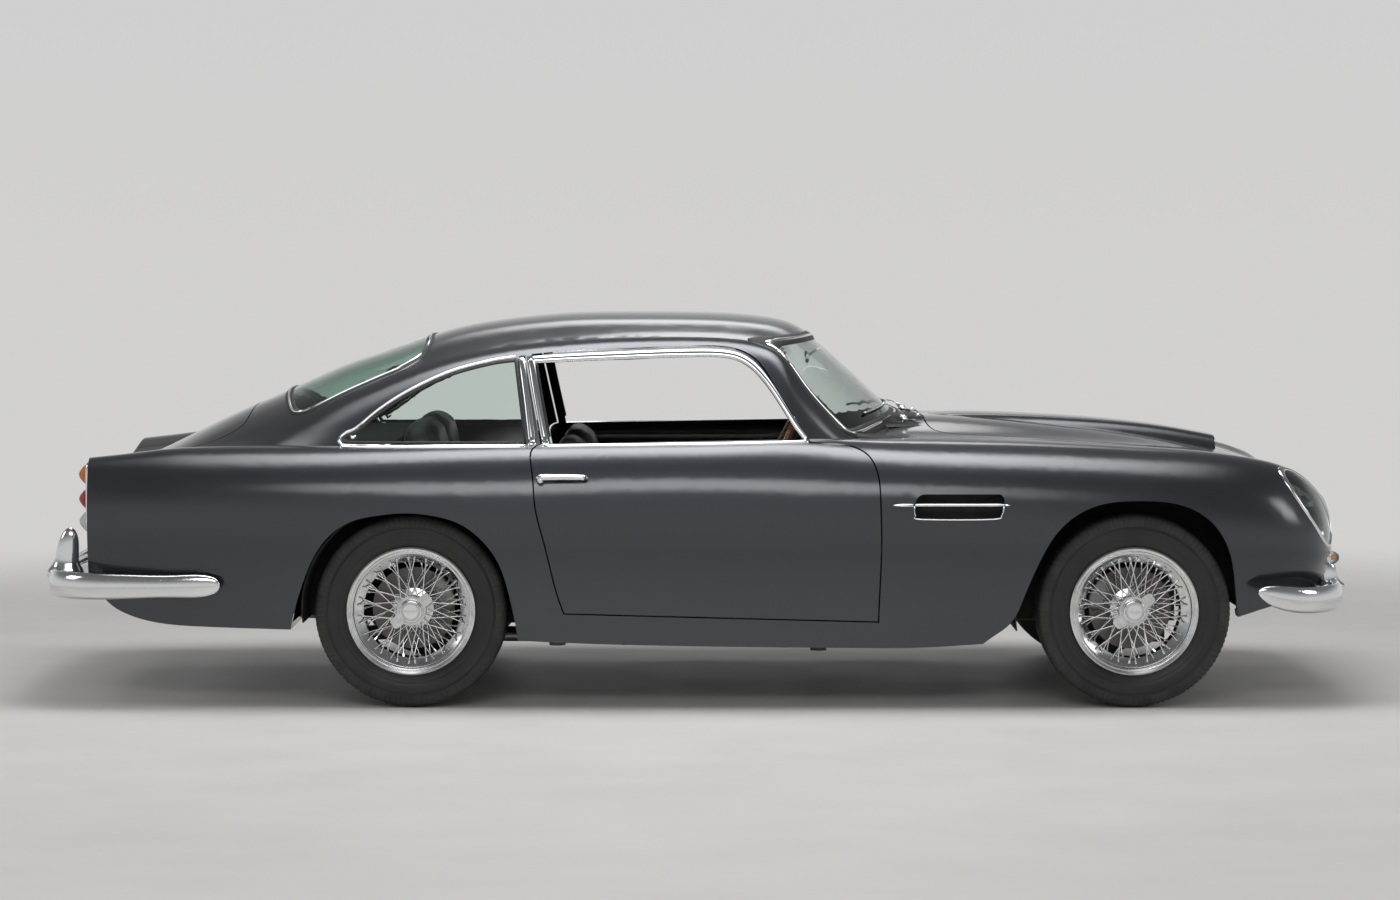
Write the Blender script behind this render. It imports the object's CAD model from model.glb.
import math
import bmesh
import bpy
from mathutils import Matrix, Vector
from mathutils.bvhtree import BVHTree


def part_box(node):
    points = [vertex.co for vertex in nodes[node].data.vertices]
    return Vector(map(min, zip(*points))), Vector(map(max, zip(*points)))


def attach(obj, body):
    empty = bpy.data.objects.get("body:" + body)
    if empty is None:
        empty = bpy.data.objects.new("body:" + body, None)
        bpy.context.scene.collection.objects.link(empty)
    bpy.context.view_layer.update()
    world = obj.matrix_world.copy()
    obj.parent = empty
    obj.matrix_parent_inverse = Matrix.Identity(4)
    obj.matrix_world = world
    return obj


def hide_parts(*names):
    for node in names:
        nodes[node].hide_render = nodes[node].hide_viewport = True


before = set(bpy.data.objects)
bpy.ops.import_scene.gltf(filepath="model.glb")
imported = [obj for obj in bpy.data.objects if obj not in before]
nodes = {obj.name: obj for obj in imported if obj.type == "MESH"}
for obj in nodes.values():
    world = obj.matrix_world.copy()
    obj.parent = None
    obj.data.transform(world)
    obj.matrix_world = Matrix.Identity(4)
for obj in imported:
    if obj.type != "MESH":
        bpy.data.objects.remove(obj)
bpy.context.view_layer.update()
scene = bpy.context.scene


# Painted shell
# Pressed alloy panels sprayed dark graphite with a faint blue cast: fine metal flakes under a clear coat.
# The CAD panels keep their shape, so only the paint is made here and put on them.

def material(name, colour, rough, metal=0.0):
    """A plain finish, to which the next functions add colour, gloss and bump from small noise."""
    made = bpy.data.materials.new(name)
    made.use_nodes = True
    made.diffuse_color = (*colour, 1.0)
    set_sockets(made, {"Base Color": (*colour, 1.0), "Roughness": rough, "Metallic": metal})
    return made


def set_sockets(made, values):
    """Values that are the same all over the surface, on the shader's own sockets."""
    shader = made.node_tree.nodes["Principled BSDF"]
    for socket, value in values.items():
        shader.inputs[socket].default_value = value


def grain(made, scale, detail=3.0, stretch=(1, 1, 1), cells=False):
    """Noise, or small round cells, fixed to the piece."""
    tree = made.node_tree
    place = tree.nodes.new("ShaderNodeTexCoord")
    fit = tree.nodes.new("ShaderNodeMapping")
    fit.inputs["Scale"].default_value = stretch
    pattern = tree.nodes.new("ShaderNodeTexVoronoi" if cells else "ShaderNodeTexNoise")
    pattern.inputs["Scale"].default_value = scale
    if not cells:
        pattern.inputs["Detail"].default_value = detail
    tree.links.new(place.outputs["Object"], fit.inputs["Vector"])
    tree.links.new(fit.outputs["Vector"], pattern.inputs["Vector"])
    return pattern.outputs["Distance" if cells else "Fac"]


def tint(made, pattern, dark_colour, light_colour, low=0.35, high=0.65):
    """Colour that drifts between two near shades."""
    tree = made.node_tree
    ramp = tree.nodes.new("ShaderNodeValToRGB")
    for stop, place, colour in zip(ramp.color_ramp.elements, (low, high), (dark_colour, light_colour)):
        stop.position = place
        stop.color = (*colour, 1.0)
    tree.links.new(pattern, ramp.inputs["Fac"])
    tree.links.new(ramp.outputs["Color"], tree.nodes["Principled BSDF"].inputs["Base Color"])


def vary_rough(made, pattern, low, high):
    """Gloss that drifts between two roughnesses, as on a handled surface."""
    tree = made.node_tree
    span = tree.nodes.new("ShaderNodeMapRange")
    span.inputs["To Min"].default_value = low
    span.inputs["To Max"].default_value = high
    tree.links.new(pattern, span.inputs["Value"])
    tree.links.new(span.outputs["Result"], tree.nodes["Principled BSDF"].inputs["Roughness"])


def dress(made, *names):
    """Puts a finish on CAD nodes that keep their shape."""
    for name in names:
        mesh = nodes[name].data
        mesh.materials.clear()
        mesh.materials.append(made)


paint = material("graphite_paint", (0.042, 0.046, 0.053), 0.38, 0.85)
tint(paint, grain(paint, 2600.0, 0.0), (0.031, 0.0345, 0.041), (0.046, 0.051, 0.060), 0.30, 0.72)
vary_rough(paint, grain(paint, 6.0), 0.34, 0.40)
set_sockets(paint, {"Coat Weight": 1.0, "Coat Roughness": 0.07, "Coat IOR": 1.5})
dress(paint, "sills", "front_body", "rear_body", "roof", "door_right", "door_left", "bonnet", "boot_lid")


# Window glass
# Clear panes with a faint green tint, a little uneven as drawn glass is; the rear window is tinted deeper.
# The screens sit in rubber gaskets and the quarter panes in chrome channels, made further down.

def pane_glass(name, colour):
    """Clear glass of one tint."""
    made = material(name, colour, 0.0)
    set_sockets(made, {"Transmission Weight": 1.0, "IOR": 1.45})
    vary_rough(made, grain(made, 4.0), 0.0, 0.012)
    return made


dress(pane_glass("pane_glass", (0.90, 0.96, 0.94)), "windscreen", "quarter_windows", "headlamp_covers")
dress(pane_glass("rear_glass", (0.62, 0.80, 0.72)), "rear_window")


# Engine and running gear
# Iron and steel castings with a rough, oily skin: the engine, the suspension, the axle and the knuckles.
# They keep their CAD shape, and the jack pads under the sills have the same finish.

def emboss(made, pattern, strength, distance):
    """Fine relief: casting skin, leather grain, weave or rubber."""
    tree = made.node_tree
    bump = tree.nodes.new("ShaderNodeBump")
    bump.inputs["Strength"].default_value = strength
    bump.inputs["Distance"].default_value = distance
    tree.links.new(pattern, bump.inputs["Height"])
    tree.links.new(bump.outputs["Normal"], tree.nodes["Principled BSDF"].inputs["Normal"])


cast = material("cast_metal", (0.045, 0.045, 0.047), 0.6, 0.3)
tint(cast, grain(cast, 14.0), (0.030, 0.030, 0.031), (0.070, 0.068, 0.066))
emboss(cast, grain(cast, 220.0), 0.25, 0.001)
dress(cast, "engine_block", "front_suspension", "rear_axle", "knuckle_right", "knuckle_left", "jack_pads")

# Floor and wheelhouses
# Sheet steel under a thick coat of matt black sealer, rough to the touch, as sprayed on from below.
# The pressings keep their CAD shape.

under = material("underbody_black", (0.012, 0.012, 0.012), 0.8)
tint(under, grain(under, 18.0), (0.008, 0.008, 0.008), (0.020, 0.019, 0.018))
emboss(under, grain(under, 160.0), 0.4, 0.0015)
dress(under, "floor_pan", "front_wheelhouses", "rear_wheelhouses")

# Bumpers and grille
# Pressed steel bars, overriders and grille, polished and chromed, on irons that the CAD model holds.
# The same chrome is used for all the bright trim.

chrome = material("chrome_trim", (0.78, 0.79, 0.80), 0.06, 1.0)
vary_rough(chrome, grain(chrome, 35.0), 0.035, 0.10)
dress(chrome, "front_bumper", "rear_bumper", "grille")


# Wire wheels
# Chromed rims laced to splined hubs by crossed steel spokes, which are solids of the CAD model.
# Added here: the nipples that hold the spokes in the rim, two rolled beads and the domed hub cap.

def turns(steps):
    """Angles of equal steps round a circle."""
    return [2 * math.pi * k / steps for k in range(steps)]


def piece(name, verts, faces, made, body, smooth=True):
    """A mesh with outward normals that rides on one body of the model."""
    mesh = bpy.data.meshes.new(name)
    mesh.from_pydata([tuple(v) for v in verts], [], faces)
    mesh.validate()
    mesh.materials.append(made)
    obj = bpy.data.objects.new(name, mesh)
    scene.collection.objects.link(obj)
    shell = bmesh.new()
    shell.from_mesh(mesh)
    bmesh.ops.recalc_face_normals(shell, faces=shell.faces)
    shell.to_mesh(mesh)
    shell.free()
    if smooth:
        mesh.polygons.foreach_set("use_smooth", [True] * len(mesh.polygons))
    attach(obj, body)
    return obj


def grid_faces(rows, columns, wrap_rows=False, wrap_columns=False, base=0):
    """Four-sided faces between rows of vertices."""
    faces = []
    for i in range(rows if wrap_rows else rows - 1):
        for j in range(columns if wrap_columns else columns - 1):
            a, b = i * columns, (i + 1) % rows * columns
            c, d = j, (j + 1) % columns
            faces.append((base + a + c, base + a + d, base + b + d, base + b + c))
    return faces


def ring_verts(points, radius, sides, closed=False, squash=1.0):
    """Rings round a line of points; radius is one number or one per point."""
    verts = []
    count = len(points)
    for i, p in enumerate(points):
        ahead = points[(i + 1) % count] if closed or i + 1 < count else points[i]
        behind = points[i - 1] if closed or i > 0 else points[i]
        way = (Vector(ahead) - Vector(behind)).normalized()
        side = way.cross(Vector((0, 0, 1)))
        side = side.normalized() if side.length > 1e-6 else Vector((0, 1, 0))
        over = side.cross(way).normalized()
        r = radius[i] if isinstance(radius, (list, tuple)) else radius
        for a in turns(sides):
            verts.append(Vector(p) + side * (r * math.cos(a)) + over * (r * squash * math.sin(a)))
    return verts


def turned(profile, centre, outward, steps):
    """Vertices of a profile of (radius, distance outward) turned round a line along Y."""
    return [centre + Vector((r * math.cos(a), across * outward, r * math.sin(a)))
            for a in turns(steps) for r, across in profile]


CORNERS = ("front_right", "front_left", "rear_right", "rear_left")
HUB_HEIGHT = 0.334
HALF_TRACK = {"front": 0.686, "rear": 0.6795}
wheel_chrome = material("wheel_chrome", (0.66, 0.665, 0.67), 0.09, 1.0)
tint(wheel_chrome, grain(wheel_chrome, 45.0), (0.60, 0.605, 0.61), (0.72, 0.725, 0.73))
vary_rough(wheel_chrome, grain(wheel_chrome, 70.0), 0.05, 0.14)
dress(wheel_chrome, *["wheel_" + corner for corner in CORNERS])

# One row per spoke circle: radius and offset at the hub, the same at the rim, phase and swing in pitches.
SPOKE_CIRCLES = ((0.0456, 0.0483, 0.1860, 0.0425, 0.0, 1.7), (0.0644, -0.0322, 0.1695, 0.0092, 0.25, 1.2))
SPOKE_PITCH = math.radians(20.0)
# Distance back from the spoke's end and radius of each ring of a nipple.
NIPPLE_RINGS = ((0.0135, 0.0030), (0.0125, 0.0040), (0.0035, 0.0040), (0.0030, 0.0054), (0.0005, 0.0054))
RIM_BEADS = (((0.2075, 0.0765), (0.2075, 0.0788), (0.2055, 0.0797), (0.2035, 0.0780), (0.2035, 0.0745)),
             ((0.1990, 0.0530), (0.1990, 0.0575), (0.1975, 0.0588), (0.1958, 0.0572), (0.1955, 0.0505)))
CAP_PROFILE = ((0.0415, 0.0600), (0.0415, 0.0785), (0.0400, 0.0800), (0.0385, 0.0790), (0.0385, 0.0850),
               (0.0370, 0.0868), (0.0340, 0.0880), (0.0250, 0.0898), (0.0120, 0.0908), (0.0006, 0.0910))
for corner in CORNERS:
    low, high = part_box("wheel_" + corner)
    end, side = corner.split("_")
    outward = -1 if side == "right" else 1
    hub = Vector(((low.x + high.x) / 2, HALF_TRACK[end] * outward, HUB_HEIGHT))
    verts, faces = [], []
    for inner, inner_y, outer, outer_y, phase, swing in SPOKE_CIRCLES:
        for index in range(18):
            start = SPOKE_PITCH * (index + phase)
            for lean in (-1, 1):
                stop = start + lean * SPOKE_PITCH * swing
                root = Vector((inner * math.cos(start), inner_y, inner * math.sin(start)))
                tip = Vector((outer * math.cos(stop), outer_y, outer * math.sin(stop)))
                way = (tip - root).normalized()
                base = len(verts)
                rings = ring_verts([tip - way * back for back, _ in NIPPLE_RINGS],
                                   [r for _, r in NIPPLE_RINGS], 6)
                verts += [hub + Vector((v.x * outward, v.y * outward, v.z)) for v in rings]
                faces += grid_faces(len(NIPPLE_RINGS), 6, False, True, base)
                faces.append(tuple(range(base, base + 6)))
    body = "road_wheel_" + corner
    piece("nipples_" + corner, verts, faces, chrome, body, False)
    verts, faces = [], []
    for profile in RIM_BEADS:
        faces += grid_faces(120, len(profile), True, True, len(verts))
        verts += turned(profile, hub, outward, 120)
    piece("rim_beads_" + corner, verts, faces, chrome, body)
    piece("hub_cap_" + corner, turned(CAP_PROFILE, hub, outward, 64),
          grid_faces(64, len(CAP_PROFILE), True, False), chrome, body)


# Tyres
# Black rubber with fine moulded rings on the wall, notched shoulders and zigzag grooves in the tread.
# The tread is worn greyer than the wall, and each tyre replaces the plain CAD one on its rim.

tyre_rubber = material("tyre_rubber", (0.012, 0.012, 0.0125), 0.46)
tint(tyre_rubber, grain(tyre_rubber, 9.0, 4.0), (0.007, 0.007, 0.0072), (0.013, 0.013, 0.0135))
vary_rough(tyre_rubber, grain(tyre_rubber, 30.0), 0.38, 0.52)
emboss(tyre_rubber, grain(tyre_rubber, 500.0), 0.2, 0.0005)
tread_rubber = material("tread_rubber", (0.026, 0.026, 0.026), 0.66)
tint(tread_rubber, grain(tread_rubber, 12.0, 4.0), (0.018, 0.018, 0.018), (0.034, 0.034, 0.033))
vary_rough(tread_rubber, grain(tread_rubber, 40.0), 0.56, 0.74)
emboss(tread_rubber, grain(tread_rubber, 420.0), 0.25, 0.0005)

TREAD_RADIUS, TREAD_EDGE, SHOULDER_EDGE, WALL_RADIUS = 0.3335, 0.3225, 0.2970, 0.2945
HALF_TREAD = 0.0690
TYRE_STEPS = 432
NOTCH_STEPS = 4
GROOVE = 0.0075
HALF_GROOVE = 0.0028
tread = []
for k in range(29):
    s = -1 + 2 * k / 28
    tread.append((TREAD_RADIUS - 0.0022 * s * s - 0.0016 * s ** 8, s * HALF_TREAD))
wall = [(0.3295, 0.0745), (0.3240, 0.0800), (0.3190, 0.0838), (0.3140, 0.0860), (0.3090, 0.0875),
        (0.3040, 0.0887), (0.2990, 0.0896), (0.2960, 0.0897), (0.2940, 0.0885), (0.2925, 0.0885),
        (0.2915, 0.0905), (0.2895, 0.0908), (0.2885, 0.0892), (0.2872, 0.0892), (0.2860, 0.0914),
        (0.2830, 0.0919), (0.2740, 0.0917), (0.2660, 0.0908), (0.2560, 0.0888), (0.2480, 0.0860),
        (0.2472, 0.0848), (0.2455, 0.0848), (0.2445, 0.0850), (0.2400, 0.0826), (0.2340, 0.0790),
        (0.2290, 0.0764), (0.2235, 0.0720), (0.2060, 0.0690)]
tyre_profile = [(r, -y) for r, y in reversed(wall)] + tread + wall


def tread_cut(step, y):
    """Depth of the groove, slot or notch at one step round the tyre and y across it."""
    wave = 0.0045 * math.sin(2 * math.pi * step / 12)
    if abs(y) > 0.74 * HALF_TREAD:
        return 0.0032 if step % NOTCH_STEPS == 0 else 0.0
    outer_groove = min(abs(y - 0.046 - wave * 0.3), abs(y + 0.046 + wave * 0.3))
    inner_groove = abs(abs(y + wave) - 0.018)
    if min(outer_groove, inner_groove) < HALF_GROOVE:
        return GROOVE
    return 0.003 if (step + int(abs(y) * 400)) % 12 == 0 else 0.0


for corner in CORNERS:
    low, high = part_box("tyre_" + corner)
    mid = (low + high) / 2
    mid.z = HUB_HEIGHT
    verts = []
    for step, a in enumerate(turns(TYRE_STEPS)):
        for r, y in tyre_profile:
            if r > TREAD_EDGE:
                r -= tread_cut(step, y)
            elif r > SHOULDER_EDGE and step % NOTCH_STEPS == 0:
                r -= 0.0030
                y -= math.copysign(0.0030, y)
            verts.append(mid + Vector((r * math.cos(a), y, r * math.sin(a))))
    tyre = piece("tread_tyre_" + corner, verts, grid_faces(TYRE_STEPS, len(tyre_profile), True, True),
                 tyre_rubber, "road_wheel_" + corner)
    tyre.data.materials.append(tread_rubber)
    for face in tyre.data.polygons:
        reach = math.hypot(face.center.x - mid.x, face.center.z - mid.z)
        face.material_index = 1 if reach > WALL_RADIUS else 0
    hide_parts("tyre_" + corner)


# Brakes
# Iron discs with a turned face, each gripped by a cast alloy caliper with two pad bosses.
# The front calipers are bolted to the knuckles and the rear ones to the axle; the discs are CAD nodes.

def rounded(angle, wide, high, power, power_high=None):
    """Point of an outline between an ellipse, at power 1, and a box, at power 0."""
    c, s = math.cos(angle), math.sin(angle)
    return (wide * math.copysign(abs(c) ** power, c),
            high * math.copysign(abs(s) ** (power_high or power), s))


def capped(rows, columns, first=True, last=True):
    """Faces of a skin of closed rings, with its end rings filled."""
    faces = grid_faces(rows, columns, False, True)
    if first:
        faces.append(tuple(range(columns)))
    if last:
        faces.append(tuple(range((rows - 1) * columns, rows * columns)))
    return faces


disc_iron = material("disc_iron", (0.14, 0.135, 0.13), 0.38, 1.0)
vary_rough(disc_iron, grain(disc_iron, 30.0, 2.0), 0.25, 0.45)
dress(disc_iron, *["brake_disc_" + corner for corner in CORNERS])
caliper_alloy = material("caliper_alloy", (0.34, 0.34, 0.33), 0.42, 0.8)
tint(caliper_alloy, grain(caliper_alloy, 25.0), (0.26, 0.26, 0.25), (0.42, 0.42, 0.41))
emboss(caliper_alloy, grain(caliper_alloy, 300.0), 0.2, 0.0006)

CALIPER_ARC = math.radians(66)
CALIPER_ANGLE = {"front": math.radians(152), "rear": math.radians(28)}
CALIPER_ROWS, CALIPER_SIDES = 19, 16
CALIPER_RADIUS, CALIPER_HALF_REACH, CALIPER_HALF_WIDTH, PAD_BOSS = 0.1210, 0.0300, 0.0185, 0.0035
for corner in CORNERS:
    low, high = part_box("brake_disc_" + corner)
    end, side = corner.split("_")
    inward = 1 if side == "right" else -1
    hub = (low + high) / 2 - Vector((0, inward * 0.0015, 0))
    verts = []
    for i in range(CALIPER_ROWS):
        along = i / (CALIPER_ROWS - 1) - 0.5
        a = CALIPER_ANGLE[end] + CALIPER_ARC * along
        taper = min(1.0, 4.0 * min(i, CALIPER_ROWS - 1 - i) / (CALIPER_ROWS - 1) + 0.35)
        boss = PAD_BOSS * math.cos(math.pi * along * 3) ** 2
        for b in turns(CALIPER_SIDES):
            reach, y = rounded(b, CALIPER_HALF_REACH * taper, CALIPER_HALF_WIDTH * taper + boss, 0.4)
            r = CALIPER_RADIUS + reach
            verts.append(hub + Vector((r * math.cos(a), y, r * math.sin(a))))
    carrier = "knuckle_" + side if end == "front" else "body"
    piece("caliper_" + corner, verts, capped(CALIPER_ROWS, CALIPER_SIDES), caliper_alloy, carrier)


# Exhaust
# Twin steel pipes from the engine bay, each held by two clamps, through a seamed box to short tips.
# The run is browned by heat and hangs under the floor; the box replaces the CAD run.

def smooth_line(points, per_run, closed=False):
    """Catmull-Rom points through the given ones."""
    count = len(points)
    out = []
    for i in range(count if closed else count - 1):
        p0 = points[i - 1] if closed or i > 0 else points[i]
        p1, p2 = points[i], points[(i + 1) % count]
        p3 = points[(i + 2) % count] if closed or i + 2 < count else p2
        p0, p1, p2, p3 = (Vector(p) for p in (p0, p1, p2, p3))
        for k in range(per_run):
            t = k / per_run
            out.append(0.5 * ((2 * p1) + (p2 - p0) * t + (2 * p0 - 5 * p1 + 4 * p2 - p3) * t * t
                              + (3 * p1 - p0 - 3 * p2 + p3) * t ** 3))
    if not closed:
        out.append(Vector(points[-1]))
    return out


def tube(name, points, radius, made, body, sides=12, closed=False, squash=1.0):
    """A bar along a line of points, with filled ends or joined to a loop."""
    verts = ring_verts(points, radius, sides, closed, squash)
    faces = grid_faces(len(points), sides, True, True) if closed else capped(len(points), sides)
    return piece(name, verts, faces, made, body)


steel = material("exhaust_steel", (0.32, 0.31, 0.30), 0.34, 1.0)
tint(steel, grain(steel, 9.0), (0.20, 0.18, 0.16), (0.42, 0.41, 0.40))
vary_rough(steel, grain(steel, 40.0), 0.28, 0.5)

PIPE_HEIGHT = 0.1997
PIPE_RADIUS = 0.0225
PIPE_PLACES = (-0.312, -0.228)
CLAMP_PLACES = (0.400, -0.420)
CLAMP_RADII = [0.0262, 0.0272, 0.0262]
CLAMP_STEP = 0.012
PIPE_RUN = ((0.700, 0.012), (0.560, 0.0), (0.300, 0.0), (-0.700, 0.0), (-0.860, 0.010), (-0.983, 0.014),
            (-1.090, 0.008), (-1.180, 0.002))
for index, y in enumerate(PIPE_PLACES):
    points = smooth_line([Vector((x, y, PIPE_HEIGHT + up)) for x, up in PIPE_RUN], 6)
    tube("exhaust_pipe_%d" % index, points, PIPE_RADIUS, steel, "body", 20)
    for spot, x in enumerate(CLAMP_PLACES):
        strap = [Vector((x + k * CLAMP_STEP, y, PIPE_HEIGHT)) for k in range(3)]
        tube("exhaust_clamp_%d_%d" % (index, spot), strap, CLAMP_RADII, steel, "body", 20)
# Places along the box and the share of its full section there; the seams stand proud near each end.
BOX_RINGS = ((-0.280, 0.30), (-0.276, 0.80), (-0.268, 0.95), (-0.262, 1.02), (-0.254, 1.02), (-0.250, 0.98),
             (0.0, 0.985), (0.250, 0.98), (0.254, 1.02), (0.262, 1.02), (0.268, 0.95), (0.276, 0.80),
             (0.280, 0.30))
BOX_Y, BOX_HALF_WIDTH, BOX_HALF_HEIGHT = -0.270, 0.106, 0.0365
verts = []
for x, grow in BOX_RINGS:
    for a in turns(40):
        y, z = rounded(a, BOX_HALF_WIDTH * grow, BOX_HALF_HEIGHT * grow, 0.6)
        verts.append(Vector((x, BOX_Y + y, PIPE_HEIGHT + z)))
silencer = piece("exhaust_silencer", verts, capped(len(BOX_RINGS), 40), steel, "body")
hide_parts("exhaust")


# Door window frames
# Each door has a frame of rolled brass, chromed, round its window, with a belt strip below the opening.
# The bars lie on the door's skin and move with it; a black rubber seal runs down inside the rear post.

def surface(*names):
    """The skins of some CAD nodes as one tree that rays can be sent at."""
    verts, faces = [], []
    for name in names:
        mesh = nodes[name].data
        base = len(verts)
        verts += [v.co.copy() for v in mesh.vertices]
        faces += [tuple(base + i for i in p.vertices) for p in mesh.polygons]
    return BVHTree.FromPolygons(verts, faces)


# For each view, where the ray of a point (u, v) starts and which way it runs.
VIEWS = {
    "right": (lambda u, v: Vector((u, -2.0, v)), Vector((0, 1, 0))),
    "front": (lambda u, v: Vector((3.5, u, v)), Vector((-1, 0, 0))),
    "rear": (lambda u, v: Vector((-3.5, u, v)), Vector((1, 0, 0))),
    "plan": (lambda u, v: Vector((u, v, 2.5)), Vector((0, 0, -1))),
}
# How far a ray may run and still be on the near part of the car.
SIDE_REACH, FRONT_REACH, TOP_REACH = 1.75, 3.4, 2.4


def hit(tree, view, u, v, limit):
    """Spot and outward normal under a point of a view, or None past the limit."""
    start, way = VIEWS[view]
    spot, normal, _, length = tree.ray_cast(start(u, v), way)
    if spot is None or length > limit:
        return None
    return spot, -normal if normal.dot(way) > 0 else normal


def carried_on(view, u, v, near):
    """Where the ray meets the plane of a neighbouring hit."""
    start, way = VIEWS[view]
    spot, normal = near
    origin = start(u, v)
    slope = way.dot(normal)
    if abs(slope) < 0.15:
        return near
    return origin + way * ((spot - origin).dot(normal) / slope), normal


def laid(tree, view, path, width, rows, limit, closed):
    """Rows of (spot, normal) across a path; a gap carries on the nearest hit's plane."""
    out = []
    count = len(path)
    for i, p in enumerate(path):
        ahead = path[(i + 1) % count] if closed or i + 1 < count else path[i]
        behind = path[i - 1] if closed or i > 0 else path[i]
        way = (ahead.xy - behind.xy).normalized()
        side = Vector((-way.y, way.x))
        here = p.z if len(p) > 2 else width
        places = [p.xy + side * ((k / (rows - 1) - 0.5) * here) for k in range(rows)]
        line = [hit(tree, view, q.x, q.y, limit) for q in places]
        found = [k for k in range(rows) if line[k]]
        for k in range(rows):
            if found and not line[k]:
                near = line[min(found, key=lambda other: abs(other - k))]
                line[k] = carried_on(view, places[k].x, places[k].y, near)
        out.append(line)
    for k in range(rows):
        last = next((line[k] for line in out if line[k]), None)
        for line in out:
            if line[k] is None:
                line[k] = next((x for x in line if x), last)
            last = line[k]
    return out


def band(name, tree, view, path, width, height, made, bodies, closed=False, sink=0.003,
         limit=SIDE_REACH, per_run=8):
    """A crowned strip on the skin; bodies has one (body, mirrored) row for each copy."""
    rows = 7
    line = smooth_line([Vector(p) for p in path], per_run, closed)
    grid = laid(tree, view, line, width, rows, limit, closed)
    wide = rows + 2
    for body, mirrored in bodies:
        verts = []
        for across in grid:
            verts.append(across[0][0] - across[0][1] * sink)
            for k, (spot, normal) in enumerate(across):
                lift = height * (1 - abs(2 * k / (rows - 1) - 1) ** 2.5)
                verts.append(spot + normal * max(lift, 0.0002))
            verts.append(across[-1][0] - across[-1][1] * sink)
        if mirrored:
            verts = [Vector((v.x, -v.y, v.z)) for v in verts]
        faces = grid_faces(len(grid), wide, True, True) if closed else capped(len(grid), wide)
        tag = name if len(bodies) == 1 else name + ("_left" if mirrored else "_right")
        piece(tag, verts, faces, made, body)


rubber = material("rubber_seal", (0.012, 0.012, 0.013), 0.5)
vary_rough(rubber, grain(rubber, 60.0), 0.42, 0.62)
emboss(rubber, grain(rubber, 900.0), 0.15, 0.0004)

ON_DOORS = (("door_right", False), ("door_left", True))
door_skin = surface("door_right")
# Along and up from nose to tail, and the bar's width there.
FRAME_BAR = ((0.3790, 0.9230, 0.018), (0.3450, 0.9680, 0.020), (0.3100, 1.0230, 0.021),
             (0.2750, 1.0780, 0.022), (0.2400, 1.1270, 0.024), (0.2050, 1.1660, 0.026),
             (0.1700, 1.1930, 0.028), (0.1300, 1.2100, 0.029), (0.0700, 1.2185, 0.029),
             (-0.0200, 1.2190, 0.030), (-0.1500, 1.2150, 0.030), (-0.3000, 1.2090, 0.030),
             (-0.4400, 1.2030, 0.029), (-0.5740, 1.1950, 0.028))
FRAME_POST = ((-0.5755, 1.2010, 0.027), (-0.5480, 1.0500, 0.027), (-0.5190, 0.9060, 0.027))
BELT_STRIP = ((-0.5330, 0.9010, 0.011), (-0.2000, 0.9052, 0.011), (0.1500, 0.9100, 0.011),
              (0.3860, 0.9150, 0.009))
POST_SEAL = ((-0.5545, 1.1810), (-0.5300, 1.0500), (-0.5010, 0.9090))
for name, path, height in (("window_frame", FRAME_BAR, 0.0065), ("window_post", FRAME_POST, 0.0065),
                           ("belt_strip_door", BELT_STRIP, 0.0075)):
    band(name, door_skin, "right", path, 0.024, height, chrome, ON_DOORS)
band("window_seal", door_skin, "right", POST_SEAL, 0.006, 0.003, rubber, ON_DOORS,
     sink=0.010)

# Quarter windows
# A fixed pane behind each door in a chromed brass surround, with a broad bar in front and rubber seals.
# A small turned catch holds the pane's rear corner; all of it is fixed to the body.

SIDES = (("right", 1), ("left", -1))
ON_BODY_SIDES = (("body", False), ("body", True))
quarter_skin = surface("roof", "rear_body", "quarter_windows")
QUARTER_BAR = ((-0.5655, 0.9040, 0.027), (-0.5850, 1.0500, 0.026), (-0.6090, 1.2040, 0.025))
QUARTER_EDGE = ((-0.5900, 0.9010), (-0.9000, 0.9000), (-1.1950, 0.9000), (-1.2290, 0.9060),
                (-1.2360, 0.9220), (-1.2150, 0.9420), (-1.1782, 0.9600), (-1.0982, 1.0255),
                (-0.9940, 1.0905), (-0.8550, 1.1535), (-0.7160, 1.1905), (-0.6270, 1.2040))
QUARTER_SEAL = ((-0.6000, 0.9110), (-0.9000, 0.9110), (-1.1900, 0.9110), (-1.2130, 0.9160),
                (-1.2180, 0.9270), (-1.1700, 0.9520), (-1.0930, 1.0140), (-0.9900, 1.0790),
                (-0.8520, 1.1420), (-0.7150, 1.1790), (-0.6280, 1.1910))
QUARTER_SEAL_FRONT = ((-0.5900, 0.9100), (-0.6100, 1.0500), (-0.6300, 1.1930))
for name, path, width, height, made, slot in (
        ("quarter_bar", QUARTER_BAR, 0.027, 0.0065, chrome, "chrome_trim"),
        ("quarter_surround", QUARTER_EDGE, 0.012, 0.0060, chrome, "chrome_trim"),
        ("quarter_seal", QUARTER_SEAL, 0.009, 0.0025, rubber, "tyre_rubber"),
        ("quarter_seal_front", QUARTER_SEAL_FRONT, 0.009, 0.0035, rubber, "tyre_rubber")):
    band(name, quarter_skin, "right", path, width, height, made, ON_BODY_SIDES)
CATCH_X, CATCH_HEIGHT = -1.190, 0.925
catch, _ = hit(quarter_skin, "right", CATCH_X, CATCH_HEIGHT, SIDE_REACH)
for side, sign in SIDES:
    knob = Vector((catch.x, catch.y * sign, catch.z))
    points = [knob + Vector((0.006 * k, sign * 0.004 * (k % 2), 0.004 * (k % 3))) for k in range(-1, 3)]
    tube("quarter_catch_" + side, points, [0.004, 0.0065, 0.005, 0.0035], chrome, "body")


# Windscreen surround
# The laminated screen sits in a black moulded gasket that grips the body's edge all round.
# A thin chromed strip is pressed into the gasket's channel.

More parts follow.
